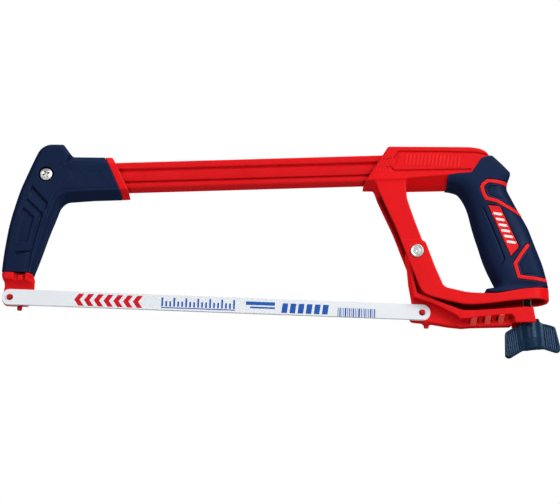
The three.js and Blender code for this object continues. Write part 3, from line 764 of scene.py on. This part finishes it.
def make_rear_frame():
    g = Grid((102, -17, 2.5), (245, 17, 126), 0.5)
    side = np.abs(g.y) - SLEEVE_HALF
    flat = g.flat(SLEEVE)
    sleeve = extrude(flat, side, 1.1)
    ridge_z = np.interp(g.x, [104, 134.6, 165.4, 210], [95.4, 97.8, 101.7, 105]).astype(np.float32)
    low_z = np.interp(g.x, [104, 136, 165, 210], [92.5, 93.2, 95, 96]).astype(np.float32)
    rise = ridge_z - low_z
    under = (side * rise - (g.z - ridge_z) * 8.75) / np.hypot(rise, 8.75)
    sleeve = smax(sleeve, under, 0.6)
    # A rounded bead runs along the ridge.
    bead = np.maximum(np.abs(g.z - ridge_z - 0.5) - 0.55, side - 0.35)
    bead = smax(np.maximum(bead, flat), np.abs(g.z - ridge_z - 0.5) + side - 0.55, 0.3)
    sleeve = smin(sleeve, bead, 0.5)
    # The mouth of the sleeve steps down at its slanted front edge.
    lip = g.line([(103, 91), (106.3, 95.9), (113, 107.4), (121.8, 121.8)])
    sleeve = smax(sleeve, bevel(-lip, side, 0.9, 0.9), 0.4)
    # Raised side panel with its border, and slanted bars at its front end.
    border = [
        [(121.2, 105.6), (123.6, 105.9), (126.4, 103.2), (160.4, 105.1), (182.6, 106.4)],
        [(126.3, 113.4), (129.4, 117.9), (160, 118.9), (186, 119.4), (193.8, 118.2)],
    ]
    for points in border:
        sleeve = groove(sleeve, g.line(points), side, 1.3, 1.25, 0.4)
    for i in range(5):
        x = 114.6 + 2.5 * i
        sleeve = groove(sleeve, g.line([(x, 104.8 + 0.1 * i), (x + 4.4, 112.2 + 0.25 * i)]), side,
                        0.95, 0.85, 0.35)
    # A row of plain raised bars within the border.
    for i in range(15):
        x = 134.5 + 2.75 * i
        bar = np.maximum(g.line([(x, 108.4), (x + 0.9, 115.6)]) - 0.62, side - 0.3)
        sleeve = smin(sleeve, bar, 0.4)
    # Strut, rail and base as one channel.
    # It steps out a little round the lever's rivet and below.
    step = np.clip((52.0 - g.z) / 0.5, 0, 1)
    leg = extrude(g.flat(STRUT), np.abs(g.y) - (14.9 + 0.9 * step), 0.7)
    leg = np.maximum(leg, ellipse_end(g.x, g.y, 242.9, 13, SLEEVE_HALF))
    whole = smin(sleeve, leg, 2.6)
    hollow = np.maximum(g.flat(HOLLOW), np.abs(g.y) - HOLLOW_HALF)
    hollow = np.maximum(hollow, hollow_end(g.x, g.y))
    whole = smax(whole, -hollow, 0.5)
    # Core that carries the handle's skin.
    core = extrude(g.flat(GRIP) + 4.0, np.abs(g.y) - 11.5, 3)
    whole = np.minimum(whole, np.maximum(core, g.x - 238))
    # Room for the beam.
    whole = np.maximum(whole, -np.maximum(beam_room(g), g.x - 178))
    # Room for the bolt's eye: round above, open below.
    x, z = g.x - TRUNNION.x, g.z - TRUNNION.z
    eye = np.minimum(np.hypot(x, z) - 6.4, np.maximum(np.abs(x) - 6.4, z))
    whole = np.maximum(whole, -np.maximum(eye, np.abs(g.y) - 4.8))
    casting = skin("rear_frame_casting", whole, g, red_cast, "frame", "rear_frame",
                   slot="frame_paint")
    mark_painted_shade_inside(casting)


def mark_painted_shade_inside(casting):
    """Marks how deep in the hollow each point lies; the paint is darkened there as painted shade."""
    mesh = casting.data
    points = np.zeros(len(mesh.vertices) * 3)
    mesh.vertices.foreach_get("co", points)
    x, y, z = (points.reshape(-1, 3) * 1000).T
    deep = ramp(0.9 - inside_distance(x, z, HOLLOW), 0.8)
    deep = deep * ramp(13.9 - np.abs(y - MID), 0.8)
    deep = deep * ramp(1.0 - hollow_end(x, y - MID), 0.8)
    deep = deep * ramp(-0.9 - inside_distance(x, z, STRUT), 1.6)
    mesh.attributes.new("inside", "FLOAT", "POINT").data.foreach_set("value", deep)


# ------------------------------------------------------------------ handle
GRIP = rounded([
    (150, 94.6), (150, 122.6), (183, 123.2, 3), (194.4, 119.6, 3), (198.4, 118.3, 1.5),
    (205.7, 111.8, 2), (211.7, 105.8, 1.2), (212.3, 103.8, 1), (210.0, 97.0, 3), (210.2, 93.4, 3),
    (215.6, 83.4, 4), (220.9, 74.4, 4), (226.1, 65.5, 4), (231.4, 52.0, 5), (237.0, 37.8, 5),
    (240.0, 26.7, 3), (241.3, 20.8, 0.6), (234, 17), (219.7, 15.6), (203, 13.2), (195.3, 14.2, 0.8),
    (195.6, 18.0, 1), (203.2, 19.8, 1.2), (203.4, 23.2, 2), (197.4, 34.6, 5), (194.0, 42.5, 4),
    (191.0, 51.7, 4), (188.3, 59.3, 4), (185.6, 68.0, 4), (183.6, 76.3, 4), (181.3, 83.1, 3),
    (178.2, 88.8, 3), (174.6, 93.2, 2.5), (168, 94.7, 2)])
GRIP_EDGE = [(163.2, 88), (163.9, 92.0), (165.6, 95.7), (166.4, 102.6), (183.4, 104.8),
             (190.2, 115.6), (194, 117.2), (203, 119.5)]
UPPER_STRIPE = [(218, 96.2), (209.4, 96.7), (202, 97.9), (195.4, 98.2), (192.2, 95.6),
                (191.2, 93.4), (192.6, 88.4), (194.6, 85.0), (202.4, 83.2), (208.3, 80.2),
                (214.5, 77.4), (221, 74.4)]
LOWER_STRIPE = [(225.4, 50.8), (220.4, 43.5), (216.2, 36.6), (219.0, 26.9), (230, 25.9),
                (246, 25.2)]
BADGE = rounded([(195.8, 79.8, 0.5), (204.6, 79.1, 1.6), (219.0, 49.3, 1.6), (213.0, 42.0, 0.5)])


def grip_side(g):
    """Half thickness of the handle: fuller at the palm, slimmer under the fingers."""
    t = np.clip((g.z - 18) / 80, 0, 1)
    return np.abs(g.y) - (15.9 - 0.9 * np.sin(math.pi * t) ** 2)


def grip_field(g):
    flat = g.flat(GRIP)
    side = grip_side(g)
    # The front and back edges are full and round; the top and the foot keep a crisper edge.
    full = extrude(flat * 0.72, side, 8.6)
    crisp = extrude(flat, side, 2.2)
    t = np.maximum(ramp(g.z - 92, 14), 0.75 * ramp(24 - g.z, 8))
    return full * (1 - t) + crisp * t, side


def make_handle():
    g = Grid((160, -17.5, 11.5), (244.5, 17.5, 121), 0.48)
    body, side = grip_field(g)
    edge = g.flat(GRIP_EDGE + [(203, 135), (90, 135), (90, 60), (163, 60)])
    body = smax(body, 0.12 - edge, 0.5)
    # Soft skin ends on the base's top edge.
    foot = np.interp(g.x, [190, 196, 203, 212.6, 219.8, 227.1, 234.3, 246],
                     [14.0, 14.4, 14.6, 16.4, 18.0, 19.1, 19.8, 20.9]).astype(np.float32)
    body = smax(body, foot - g.z, 0.4)
    # Finger panel, slightly proud, with its moulded border.
    panel = [(179.0, 77.0), (186, 77.9), (191.2, 78.3), (193.2, 76.8), (199, 63.5), (204.5, 50.5),
             (208.4, 40.2), (207.4, 37.6), (203.2, 31.6), (200, 29.6)]
    body = groove(body, g.line(panel), side + 0.5, 0.8, 0.8, 0.5)
    # Two short lines between the stripes and the back of the grip.
    body = groove(body, g.line([(219.6, 72.6), (212.0, 74.6), (209.4, 79.2)]), side + 0.2, 0.6,
                  0.6, 0.4)
    body = groove(body, g.line([(226.8, 52.0), (232.0, 55.0)]), side + 1.5, 0.6, 1.8, 0.4)
    # Panels inside the two stripes sit lower than the skin round them.
    upper = rounded([(216, 93.6), (197.4, 94.6, 1.5), (195.4, 92.4, 1), (197.0, 87.4, 1),
                     (204.4, 85.4, 1), (219, 79.4)])
    lower = rounded([(232, 49.6), (228.2, 49.4, 1), (219.4, 36.6, 1.2), (221.8, 29.0, 1),
                     (244, 28.4)])
    for shape in (upper, lower):
        rim = np.abs(g.flat(shape))
        body = groove(body, rim, side + 0.3, 0.7, 0.7, 0.5)
        field = np.maximum(g.flat(shape), -(side + 0.55))
        body = smax(body, -field, 0.7)
    # Beds of the stripes and the badge.
    for bed in (g.line(UPPER_STRIPE) - 1.75, g.line(LOWER_STRIPE) - 1.75, g.flat(BADGE) - 0.35):
        body = smax(body, -np.maximum(bed, -(body + 0.9)), 0.3)
    # A low rib along the mould's parting line.
    body = body - 0.12 * np.exp(-(g.y / 0.55) ** 2)
    skin("handle_soft_skin", body, g, navy, "frame", "handle_grip", slot="soft_grip")


def badge_grid(sign, reach, step):
    """A grid round the badge of one side of the grip: sign is -1 near the camera, 1 behind."""
    low, high = sorted((sign * 10, sign * reach))
    return Grid((193, low, 39), (222, high, 83), step)


def make_inlays():
    """The red stripes and badges let into the soft skin."""
    for name, line, node in (("grip_upper_stripe", UPPER_STRIPE, "grip_stripe_upper"),
                             ("grip_lower_stripe", LOWER_STRIPE, "grip_stripe_lower")):
        x0 = min(p[0] for p in line) - 3
        z0 = min(p[1] for p in line) - 3
        z1 = max(p[1] for p in line) + 3
        g = Grid((x0, -17.5, z0), (244, 17.5, z1), 0.36)
        body, _ = grip_field(g)
        flat = np.maximum(g.x - 246, g.line(line) - 1.42)
        field = smax(smax(body - 0.12, flat, 0.45), -(body + 2.4), 0.3)
        skin(name, field, g, red_inlay, "frame", node, slot="grip_inlay")
    for name, sign, node in (("grip_badge_near", -1, "grip_badge_left"),
                             ("grip_badge_far", 1, "grip_badge_right")):
        g = badge_grid(sign, 17.2, 0.3)
        body, _ = grip_field(g)
        flat = g.flat(BADGE)
        field = smax(body - 0.10, flat, 0.4)
        # A raised rim round the badge.
        rim = np.abs(flat + 1.0) - 0.3
        field = smin(field, np.maximum(rim, body - 0.35), 0.25)
        field = smax(smax(field, -(body + 2.2), 0.3), -(np.abs(g.y) - 11), 0.2)
        skin(name, field, g, red_inlay, "frame", node, slot="grip_inlay")


def make_badge_bars():
    """Plain slanted bars on each badge."""
    start = np.array([201.9, 75.2])
    end = np.array([214.6, 50.2])
    along = (end - start) / np.linalg.norm(end - start)
    across = np.array([-along[1], along[0]])
    for name, sign in (("badge_bars_near", -1), ("badge_bars_far", 1)):
        g = badge_grid(sign, 17.4, 0.24)
        body, _ = grip_field(g)
        field = np.full(g.shape, FAR, np.float32)
        for i in range(6):
            c = start + along * (2.0 + 4.7 * i)
            a = c + across * 2.3 + along * 1.5
            b = c - across * 2.3 - along * 1.5
            field = np.minimum(field, g.line([a, b]) - 0.95)
        field = smax(smax(body - 0.26, field, 0.25), -(body + 0.9), 0.2)
        field = np.maximum(field, 11 - sign * g.y)
        skin(name, field, g, white_plastic, "frame", slot="grip_inlay")


# ------------------------------------------------------------------ tension lever
def make_lever():
    g = Grid((136, -13.5, -12), (235, 13.5, 52), 0.42)
    a = np.abs(g.y)
    wide = a - 12.25
    thin = a - 4.4
    web_outline = rounded([
        (138.5, 43), (140.4, 23, 3), (143.1, 8.2, 2), (142.8, 4, 2), (141.2, -5.2, 1.4),
        (143.4, -6.5, 1), (157.1, -7.4, 2), (170.2, -9.2, 2), (180, -9.7, 2), (186, -8.4, 1),
        (186, 0.8), (173.2, 2.3), (156.4, 9), (157, 22), (150.9, 43)])
    web = extrude(g.flat(web_outline), thin, 0.7)
    from_pivot = np.hypot(g.x - PIVOT_X, g.z - PIVOT_Z)
    eye = extrude(from_pivot - 7.3, wide, 0.6)
    front = extrude(g.flat(rounded([(138.4, 40), (140.4, 23), (143.1, 9.6, 0.5), (146.4, 9.4, 0.5),
                                    (143.2, 23.4), (141.3, 40)])), wide, 0.5)
    top = extrude(g.flat(rounded([
        (143.1, 9.6, 0.5), (155.5, 6.4, 1), (173.4, -1.9, 1), (177.6, -5.0, 1), (186, -4.4),
        (186, 1.4), (180, 0.9, 3), (173.3, 3.0, 2), (162.3, 7.0, 2), (150.7, 11.4), (144.4, 13)])),
        wide, 0.5)
    band = extrude(g.flat(rounded([
        (176, -5.2), (181.6, -4.6), (183.9, -4.2), (199.1, -2.2), (209.2, -0.9), (214.0, -0.3, 1.5),
        (216.4, -1.6, 1.5), (217.2, -6.4), (232.3, -5.5, 0.5), (230.1, 5.5, 0.8), (223.9, 5.6, 1),
        (205.8, 3.4, 2), (191.3, 1.9, 2), (180, 0.9)])), wide, 0.6)
    spine = extrude(g.flat(rounded([
        (178, -9.5), (184.2, -9.0), (200.9, -8.0), (214.4, -7.2), (217, -5.0), (219, 2), (190, 1)])),
        thin, 0.5)
    box = smin(band, spine, 0.4)
    body = smin(smin(web, top, 0.8), smin(front, box, 0.6), 0.6)
    body = np.minimum(body, eye)
    # Slanting ribs brace the wide band off the thin spine below it.
    drop = -3.4 + 0.115 * (g.x - 187) - g.z
    slant = 12.2 - 1.62 * np.maximum(drop, 0)
    under = -8.8 + 0.066 * (g.x - 187) - g.z
    for x in (192.2, 202.0, 211.4):
        bar = np.maximum(np.abs(g.x - x) - 1.55, a - slant + 2.6)
        body = smin(body, np.maximum(np.maximum(bar, under), g.z - 0.5), 0.4)
    # Blocks stand between them, in a lighter red that is painted light falling on them from below.
    blocks = np.full(g.shape, FAR, np.float32)
    for x, width in ((187.4, 4.5), (197.6, 4.2), (207.3, 4.2)):
        bar = smax(np.abs(g.x - x - 0.04 * (g.z + 5)) - width / 2, a - slant, 0.5)
        bar = np.maximum(np.maximum(bar, under), g.z + 3.0 - 0.115 * (g.x - 187))
        blocks = np.minimum(blocks, bar)
    # The washer's seat, the fork's slot for the bolt, and the rivet's hole.
    seat = np.maximum(g.flat([(217.2, -20), (240, -20), (240, -0.41), (217.2, -2)]), a - 9.75)
    body = smax(body, -seat, 0.4)
    slot = np.maximum(np.maximum(222.4 - g.x, a - 3.5), -30 - g.z)
    body = smax(body, -slot, 0.5)
    body = smax(body, -(from_pivot - 3.15), 0.2)
    # A small foot behind the blade's end, which the flush-cut pin stands in.
    boss = extrude(np.abs(g.x - 153.5) - 3.2, np.abs(g.z + 6.6) - 1.9, 0.6)
    boss = np.maximum(boss, a - 4.0)
    body = smin(body, np.maximum(boss, np.hypot(g.x - 153.5, g.y) - 3.1), 0.6)
    skin("tension_lever_casting", body, g, red_cast, "lever", "tension_lever", slot="frame_paint")
    # The blocks wear the lighter red of painted light.
    skin("lever_ribs_painted_lit", blocks, g, red_painted_lit, "lever", slot="frame_paint")


# ------------------------------------------------------------------ pins, rivet and screw
def make_pins():
    for name, x, body, node in (("front_blade_peg", -150.5, "frame", "front_blade_pin"),
                                ("rear_blade_peg", 150.5, "lever", "rear_blade_pin")):
        profile = [(0, -2.9), (1.7, -2.9), (1.7, 6.5), (1.62, 6.85), (1.4, 7.08), (1.0, 7.18),
                   (0.55, 7.05), (0.0, 6.9)]
        verts, faces = lathe(profile, 40, (x, 0, 0), (0, -1, 0))
        plain_mesh(name, verts, faces, red_pin, body, node, slot="frame_paint", smooth_angle=40)
    for name, x, top, end, body, node in (
            ("front_flush_peg", -143, -2.4, -8.9, "frame", "front_flush_cut_pin"),
            ("rear_flush_peg", 153.5, -2.4, -10.8, "lever", "rear_flush_cut_pin")):
        profile = [(0, 0), (1.85, 0), (1.85, top - end - 0.55), (1.7, top - end - 0.2),
                   (1.4, top - end), (0.6, top - end + 0.05), (0, top - end)]
        verts, faces = lathe(profile, 36, (x, 0, top), (0, 0, -1))
        plain_mesh(name, verts, faces, red_pin, body, node, slot="frame_paint", smooth_angle=40)


def make_rivet():
    side = [(4.95, 15.55), (4.95, 16.1), (4.8, 16.5), (4.45, 16.78), (4.15, 16.85), (3.8, 16.78),
            (3.5, 16.66), (2.4, 16.74), (1.3, 16.8), (0.45, 16.82), (0, 16.62)]
    profile = [(r, -h) for r, h in reversed(side)] + [(2.9, -15.55), (2.9, 15.55)] + side
    verts, faces = lathe(profile, 56, (PIVOT_X, 0, PIVOT_Z), (0, -1, 0))
    plain_mesh("lever_rivet", verts, faces, rivet_steel, "frame", "lever_pivot_rivet",
               slot="fastener_steel", smooth_angle=35)


def make_screw():
    g = Grid((-134.4, -17.0, 85), (-122.8, -8, 97), 0.14)
    x, z = g.x - SCREW_X, g.z - SCREW_Z
    r = np.hypot(x, z)
    top = 15.4 - 0.055 * r * r
    head = smax(smax(r - 4.75, -g.y - top, 0.7), g.y + 12.7, 0.2)
    shank = np.maximum(r - 2.5, np.abs(g.y + 10.6) - 2.4)
    head = np.minimum(head, shank)
    # The cross is turned a little, as in the photo.
    c, s = math.cos(0.42), math.sin(0.42)
    u = x * c + z * s
    v = z * c - x * s
    deep = -g.y - 12.9
    arm = 3.2 - 0.55 * np.clip(15.3 + g.y, 0, 3)
    cross = np.minimum(np.maximum(np.abs(u) - arm, np.abs(v) - 0.66),
                       np.maximum(np.abs(v) - arm, np.abs(u) - 0.66))
    cross = smin(cross, np.hypot(u, v) - 1.15, 0.4)
    head = smax(head, -np.maximum(cross, -deep), 0.18)
    skin("arm_screw", head, g, steel, "frame", "front_arm_screw", slot="fastener_steel")


# ------------------------------------------------------------------ bolt, washer, wing nut
def make_bolt():
    profile = [(0, -3), (2.6, 3.6), (2.95, 4.2), (2.95, 9.0)]
    z = 9.0
    while z < 43:
        profile += [(2.98, z + 0.1), (2.98, z + 0.25), (2.5, z + 0.6), (2.5, z + 0.72)]
        z += 1.0  # the thread's pitch
    profile += [(2.5, 43.1), (2.1, 43.5), (0, 43.5)]
    verts, faces = lathe(profile, 40, TRUNNION, DOWN)
    ring = [(0, -4), (4.6, -4), (5, -3.6), (5, 3.6), (4.6, 4), (0, 4)]
    more, extra = lathe(ring, 40, TRUNNION, (0, 1, 0))
    shift = len(verts)
    verts += more
    faces += [tuple(i + shift for i in f) for f in extra]
    plain_mesh("tension_eyebolt", verts, faces, dark_steel, "bolt", "tension_bolt",
               slot="fastener_steel", smooth_angle=28)


def make_washer():
    bore, rim, dome = 3.3, 7.2, 30
    profile = [(bore, 26.0), (6.9, 26.0), (rim, 25.7)]
    for i in range(9):
        r = rim + (bore - rim) * i / 8
        profile.append((r, 23.7 + dome - math.sqrt(dome * dome - r * r)))
    profile.append(profile[0])
    verts, faces = lathe(profile, 56, TRUNNION, DOWN)
    plain_mesh("domed_washer", verts, faces, dark_steel, "washer", "thrust_washer",
               slot="fastener_steel", smooth_angle=30)


def make_nut():
    """Built in the nut's own frame: u along the wings, v across them and w down the bolt."""
    g = Grid((206, -12, -34), (255, 12, 0), 0.3)
    dx = g.x - TRUNNION.x
    dz = g.z - TRUNNION.z
    w = dx * DOWN.x + dz * DOWN.z
    across = dx * math.cos(LEAN) + dz * math.sin(LEAN)
    turn = math.radians(-4.3)
    u = across * math.cos(turn) + g.y * math.sin(turn)
    v = -across * math.sin(turn) + g.y * math.cos(turn)
    r = np.hypot(u, v)
    # Hub, waisted and open at the top round the insert.
    hub_r = 6.4 - 0.7 * np.clip((w - 38) / 8, 0, 1)
    hub = extrude(r - hub_r, np.abs(w - 35.9) - 9.6, 0.8)
    # Wings: the outline in (|u|, w), thicker at the tips.
    au = np.abs(u + 0.8)
    wing_points = rounded([(0, 26.2), (4.2, 26.3, 2), (13.2, 29.2, 2), (18.4, 31.7, 1.6),
                           (20.4, 49.0, 2), (17.4, 50.6, 1.5), (5.5, 45.2, 3), (0, 44.8)])
    flat = inside_distance(au, w, wing_points)
    thick = 2.3 + 0.05 * au
    wing = extrude(flat, np.abs(v) - thick, 0.9)
    # Fine upright ribs within a plain border.
    field = ramp(-np.maximum(flat + 1.3, 9.0 - au - 0.05 * (w - 38)), 0.6)
    wave = 0.5 - 0.5 * np.cos((au - 9.0) * 2 * math.pi / 1.5)
    wing = smax(wing, np.abs(v) - thick + 0.85 * field * wave, 0.2)
    # A smooth flare joins wing and hub.
    body = smin(hub, wing, 3.6)
    body = smax(body, -(w - 26.2), 0.3)
    body = np.maximum(body, -np.maximum(r - 4.5, w - 39.9))
    body = np.maximum(body, -np.maximum(r - 3.25, w - 44.6))
    skin("wing_nut_body", body, g, navy_hard, "nut", "wing_nut", slot="knob_plastic")
    profile = [(3.1, 26.4), (4.0, 26.4), (4.4, 26.8), (4.4, 39.6), (3.1, 39.6), (3.1, 26.4)]
    verts, faces = lathe(profile, 40, TRUNNION, DOWN)
    plain_mesh("nut_insert", verts, faces, brass, "nut", "wing_nut_insert", slot="insert_brass",
               smooth_angle=30)


# ------------------------------------------------------------------ blade
BLADE_FRONT, BLADE_BACK = -5.35, -4.70
BLADE_DROP = -0.3  # of the blade's middle below its pins


def make_blade():
    half = 6.0
    outline = []
    for i in range(25):
        a = math.pi / 2 + math.pi * i / 24
        outline.append((-150 + half * math.cos(a), half * math.sin(a)))
    pitch = 25.4 / 24  # 24 teeth per inch
    count = 268
    x = -count * pitch / 2
    outline.append((x - 0.4, -half))
    for _ in range(count):
        outline.append((x, -half + 0.5))
        outline.append((x + pitch * 0.62, -half + 0.16))
        outline.append((x + pitch * 0.78, -half))
        outline.append((x + pitch * 0.84, -half))
        x += pitch
    outline.append((x + 0.4, -half))
    for i in range(25):
        a = -math.pi / 2 + math.pi * i / 24
        outline.append((150 + half * math.cos(a), half * math.sin(a)))
    work = bmesh.new()
    loops = [outline]
    for cx in (-150, 150):
        loops.append([(cx + 2.35 * math.cos(a), 2.35 * math.sin(a))
                      for a in np.linspace(0, 2 * math.pi, 40, endpoint=False)])
    edges = []
    for loop in loops:
        verts = [work.verts.new(to_world((x, BLADE_FRONT, z + BLADE_DROP))) for x, z in loop]
        for a, b in zip(verts, verts[1:] + verts[:1]):
            edges.append(work.edges.new((a, b)))
    bmesh.ops.triangle_fill(work, use_beauty=True, use_dissolve=False, edges=edges)
    made = bmesh.ops.extrude_face_region(work, geom=list(work.faces))
    moved = [v for v in made["geom"] if isinstance(v, bmesh.types.BMVert)]
    bmesh.ops.translate(work, verts=moved, vec=(0, (BLADE_BACK - BLADE_FRONT) / 1000, 0))
    bmesh.ops.recalc_face_normals(work, faces=work.faces)
    mesh = bpy.data.meshes.new("toothed_blade")
    work.to_mesh(mesh)
    work.free()
    new_object("toothed_blade", mesh, white_paint, "blade", "blade", slot="blade_paint")


def printed(name, shapes, material):
    """Thin printed marks on the blade's outer side: closed outlines in (x, z)."""
    verts, faces = [], []
    for shape in shapes:
        start = len(verts)
        for y in (BLADE_FRONT - 0.015, BLADE_FRONT + 0.005):
            verts += [(x, y, z + BLADE_DROP) for x, z in shape]
        n = len(shape)
        faces.append(tuple(start + i for i in range(n)))
        faces.append(tuple(start + n + i for i in reversed(range(n))))
        for i in range(n):
            j = (i + 1) % n
            faces.append((start + j, start + i, start + n + i, start + n + j))
    plain_mesh(name, verts, faces, material, "blade", slot="blade_paint")


def box_mark(x0, z0, x1, z1, slant=0.0):
    """A bar's outline, whose top is shifted along the blade by slant."""
    return [(x0, z0), (x1, z0), (x1 + slant, z1), (x0 + slant, z1)]


def make_marks():
    # Red: a row of arrowheads that point the way the blade cuts.
    arrows = []
    for i in range(7):
        x = -101.2 + 7.1 * i
        arrows.append([(x + 5.2, 4.5), (x + 1.2, 4.5), (x - 2.0, 0.0), (x + 1.2, -4.5),
                       (x + 5.2, -4.5), (x + 2.0, 0.0)])
    printed("cut_arrows", arrows, red_print)
    # Blue: a plain scale, a pair of rules, heavy bars and a close-set bar pattern.
    blue = []
    for i in range(19):
        x = -39.8 + 2.9 * i
        tall = 6.6 if i % 3 == 0 else 4.0
        blue.append(box_mark(x, -2.6, x + 1.35, -2.6 + tall))
    blue.append(box_mark(-39.8, -3.9, 13.8, -3.1))
    blue.append(box_mark(21.7, 0.8, 42.8, 3.4))
    blue.append(box_mark(24.7, -1.6, 42.8, -0.3))
    for i in range(6):
        x = 47.6 + 5.9 * i
        blue.append(box_mark(x, -4.2, x + 4.1, 3.0, 0.8))
    widths = [0.5, 0.9, 0.4, 0.4, 1.2, 0.5, 0.8, 0.4, 1.0, 0.5, 0.4, 1.3, 0.6, 0.4, 0.9, 0.5, 0.5,
              1.1, 0.4, 0.8]
    x = 88.6
    for w in widths:
        blue.append(box_mark(x, -5.3, x + w, 1.2))
        x += w + 0.72
    printed("blade_scale_marks", blue, blue_print)


make_beam()
make_front_grip()
make_front_arm()
make_rear_frame()
make_handle()
make_inlays()
make_badge_bars()
make_lever()
make_pins()
make_rivet()
make_screw()
make_bolt()
make_washer()
make_nut()
make_blade()
make_marks()
for node in ("front_arm_screw_nut", "beam_lock_screw", "bolt_pivot_pin"):
    for material_slot in nodes[node].material_slots:
        material_slot.material = steel


# ------------------------------------------------------------------ stage
def make_floor():
    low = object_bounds()[0][2] - 0.0006
    work = bmesh.new()
    bmesh.ops.create_grid(work, x_segments=24, y_segments=24, size=6)
    mesh = bpy.data.meshes.new("floor")
    work.to_mesh(mesh)
    work.free()
    floor = linked("floor", mesh)
    floor.location = (0.05, 0, low)
    n = Nodes("pale_floor")
    tone = n.ramp(n.noise(3, 4, 0.6), "Fac", [(0.3, (0.86, 0.865, 0.87)), (0.7, (0.9, 0.9, 0.905))])
    # It throws back less light than it shows, so undersides stay dark.
    seen = n.add("ShaderNodeLightPath")
    n.color(n.mix(seen, (0.42, 0.42, 0.43), tone))
    n.set(Roughness=0.7)
    # Seen from below, as the main camera sees it, the floor is clear, and far off it fades out.
    geometry = n.add("ShaderNodeNewGeometry")
    clear = n.add("ShaderNodeBsdfTransparent")
    switch = n.add("ShaderNodeMixShader")
    reach = n.add("ShaderNodeVectorMath", operation="LENGTH")
    n.link(n.coords, "Object", reach, "Vector")
    far = n.level(reach, "Value", 0.45, 1.5)
    gone = n.math("MAXIMUM", far, geometry, 0, "Backfacing")
    n.link(gone, "Value", switch, "Fac")
    n.tree.links.new(n.shader.outputs["BSDF"], switch.inputs[1])
    n.tree.links.new(clear.outputs["BSDF"], switch.inputs[2])
    n.link(switch, "Shader", n.out, "Surface")
    mesh.materials.append(n.material)


def area(name, place, aim, size, power, glint=True):
    """A soft light. Without glint it isn't mirrored in glossy surfaces."""
    light = bpy.data.lights.new(name, "AREA")
    light.shape = "RECTANGLE"
    light.size, light.size_y = size
    light.energy = power
    obj = linked(name, light)
    obj.location = place
    obj.visible_glossy = glint
    obj.rotation_euler = (Vector(aim) - Vector(place)).to_track_quat("-Z", "Y").to_euler()


def make_lights():
    """The camera sees a white backdrop, and the saw is lit by less than that."""
    world = bpy.data.worlds.new("studio")
    bpy.context.scene.world = world
    world.use_nodes = True
    tree = world.node_tree
    tree.nodes.clear()
    out = tree.nodes.new("ShaderNodeOutputWorld")
    seen = tree.nodes.new("ShaderNodeBackground")
    seen.inputs["Color"].default_value = (1, 1, 1, 1)
    seen.inputs["Strength"].default_value = 1.0
    glow = tree.nodes.new("ShaderNodeBackground")
    glow.inputs["Color"].default_value = (0.95, 0.97, 1, 1)
    glow.inputs["Strength"].default_value = 0.22
    path = tree.nodes.new("ShaderNodeLightPath")
    mix = tree.nodes.new("ShaderNodeMixShader")
    tree.links.new(path.outputs["Is Camera Ray"], mix.inputs[0])
    tree.links.new(glow.outputs[0], mix.inputs[1])
    tree.links.new(seen.outputs[0], mix.inputs[2])
    tree.links.new(mix.outputs[0], out.inputs["Surface"])
    middle = (0.04, 0, 0.05)
    area("key", (1.05, -1.3, 0.85), middle, (0.9, 0.9), 22)
    area("fill", (-0.8, -1.35, 0.60), middle, (0.9, 0.9), 6)
    area("strip", (0.55, -1.4, 0.05), middle, (0.10, 1.5), 3.0)
    area("top", (0.1, 0.1, 1.2), middle, (1.4, 0.6), 9)
    area("rear", (-0.9, 1.3, 0.9), middle, (0.9, 0.9), 22, glint=False)
    area("rear_fill", (1.0, 1.1, 0.2), middle, (0.8, 0.8), 7)


CAMERA = (0.045036, -1.491203, -0.330797)  # fitted to the photo, with the angles below


def make_camera():
    pitch, roll = math.radians(14), math.radians(2.153)
    forward = Vector((0, math.cos(pitch), math.sin(pitch)))
    up0 = Vector((0, -math.sin(pitch), math.cos(pitch)))
    right0 = Vector((1, 0, 0))
    right = right0 * math.cos(roll) + up0 * math.sin(roll)
    up = up0 * math.cos(roll) - right0 * math.sin(roll)
    camera = bpy.data.cameras.new("camera")
    camera.lens = 135
    camera.sensor_width = 36
    camera.clip_end = 50
    obj = linked("camera", camera)
    turn = Matrix((right, up, -forward)).transposed()
    obj.matrix_world = Matrix.Translation(CAMERA) @ turn.to_4x4()
    bpy.context.scene.camera = obj
    bpy.context.scene.view_settings.view_transform = "Standard"


make_floor()
make_lights()
make_camera()
bpy.context.view_layer.update()
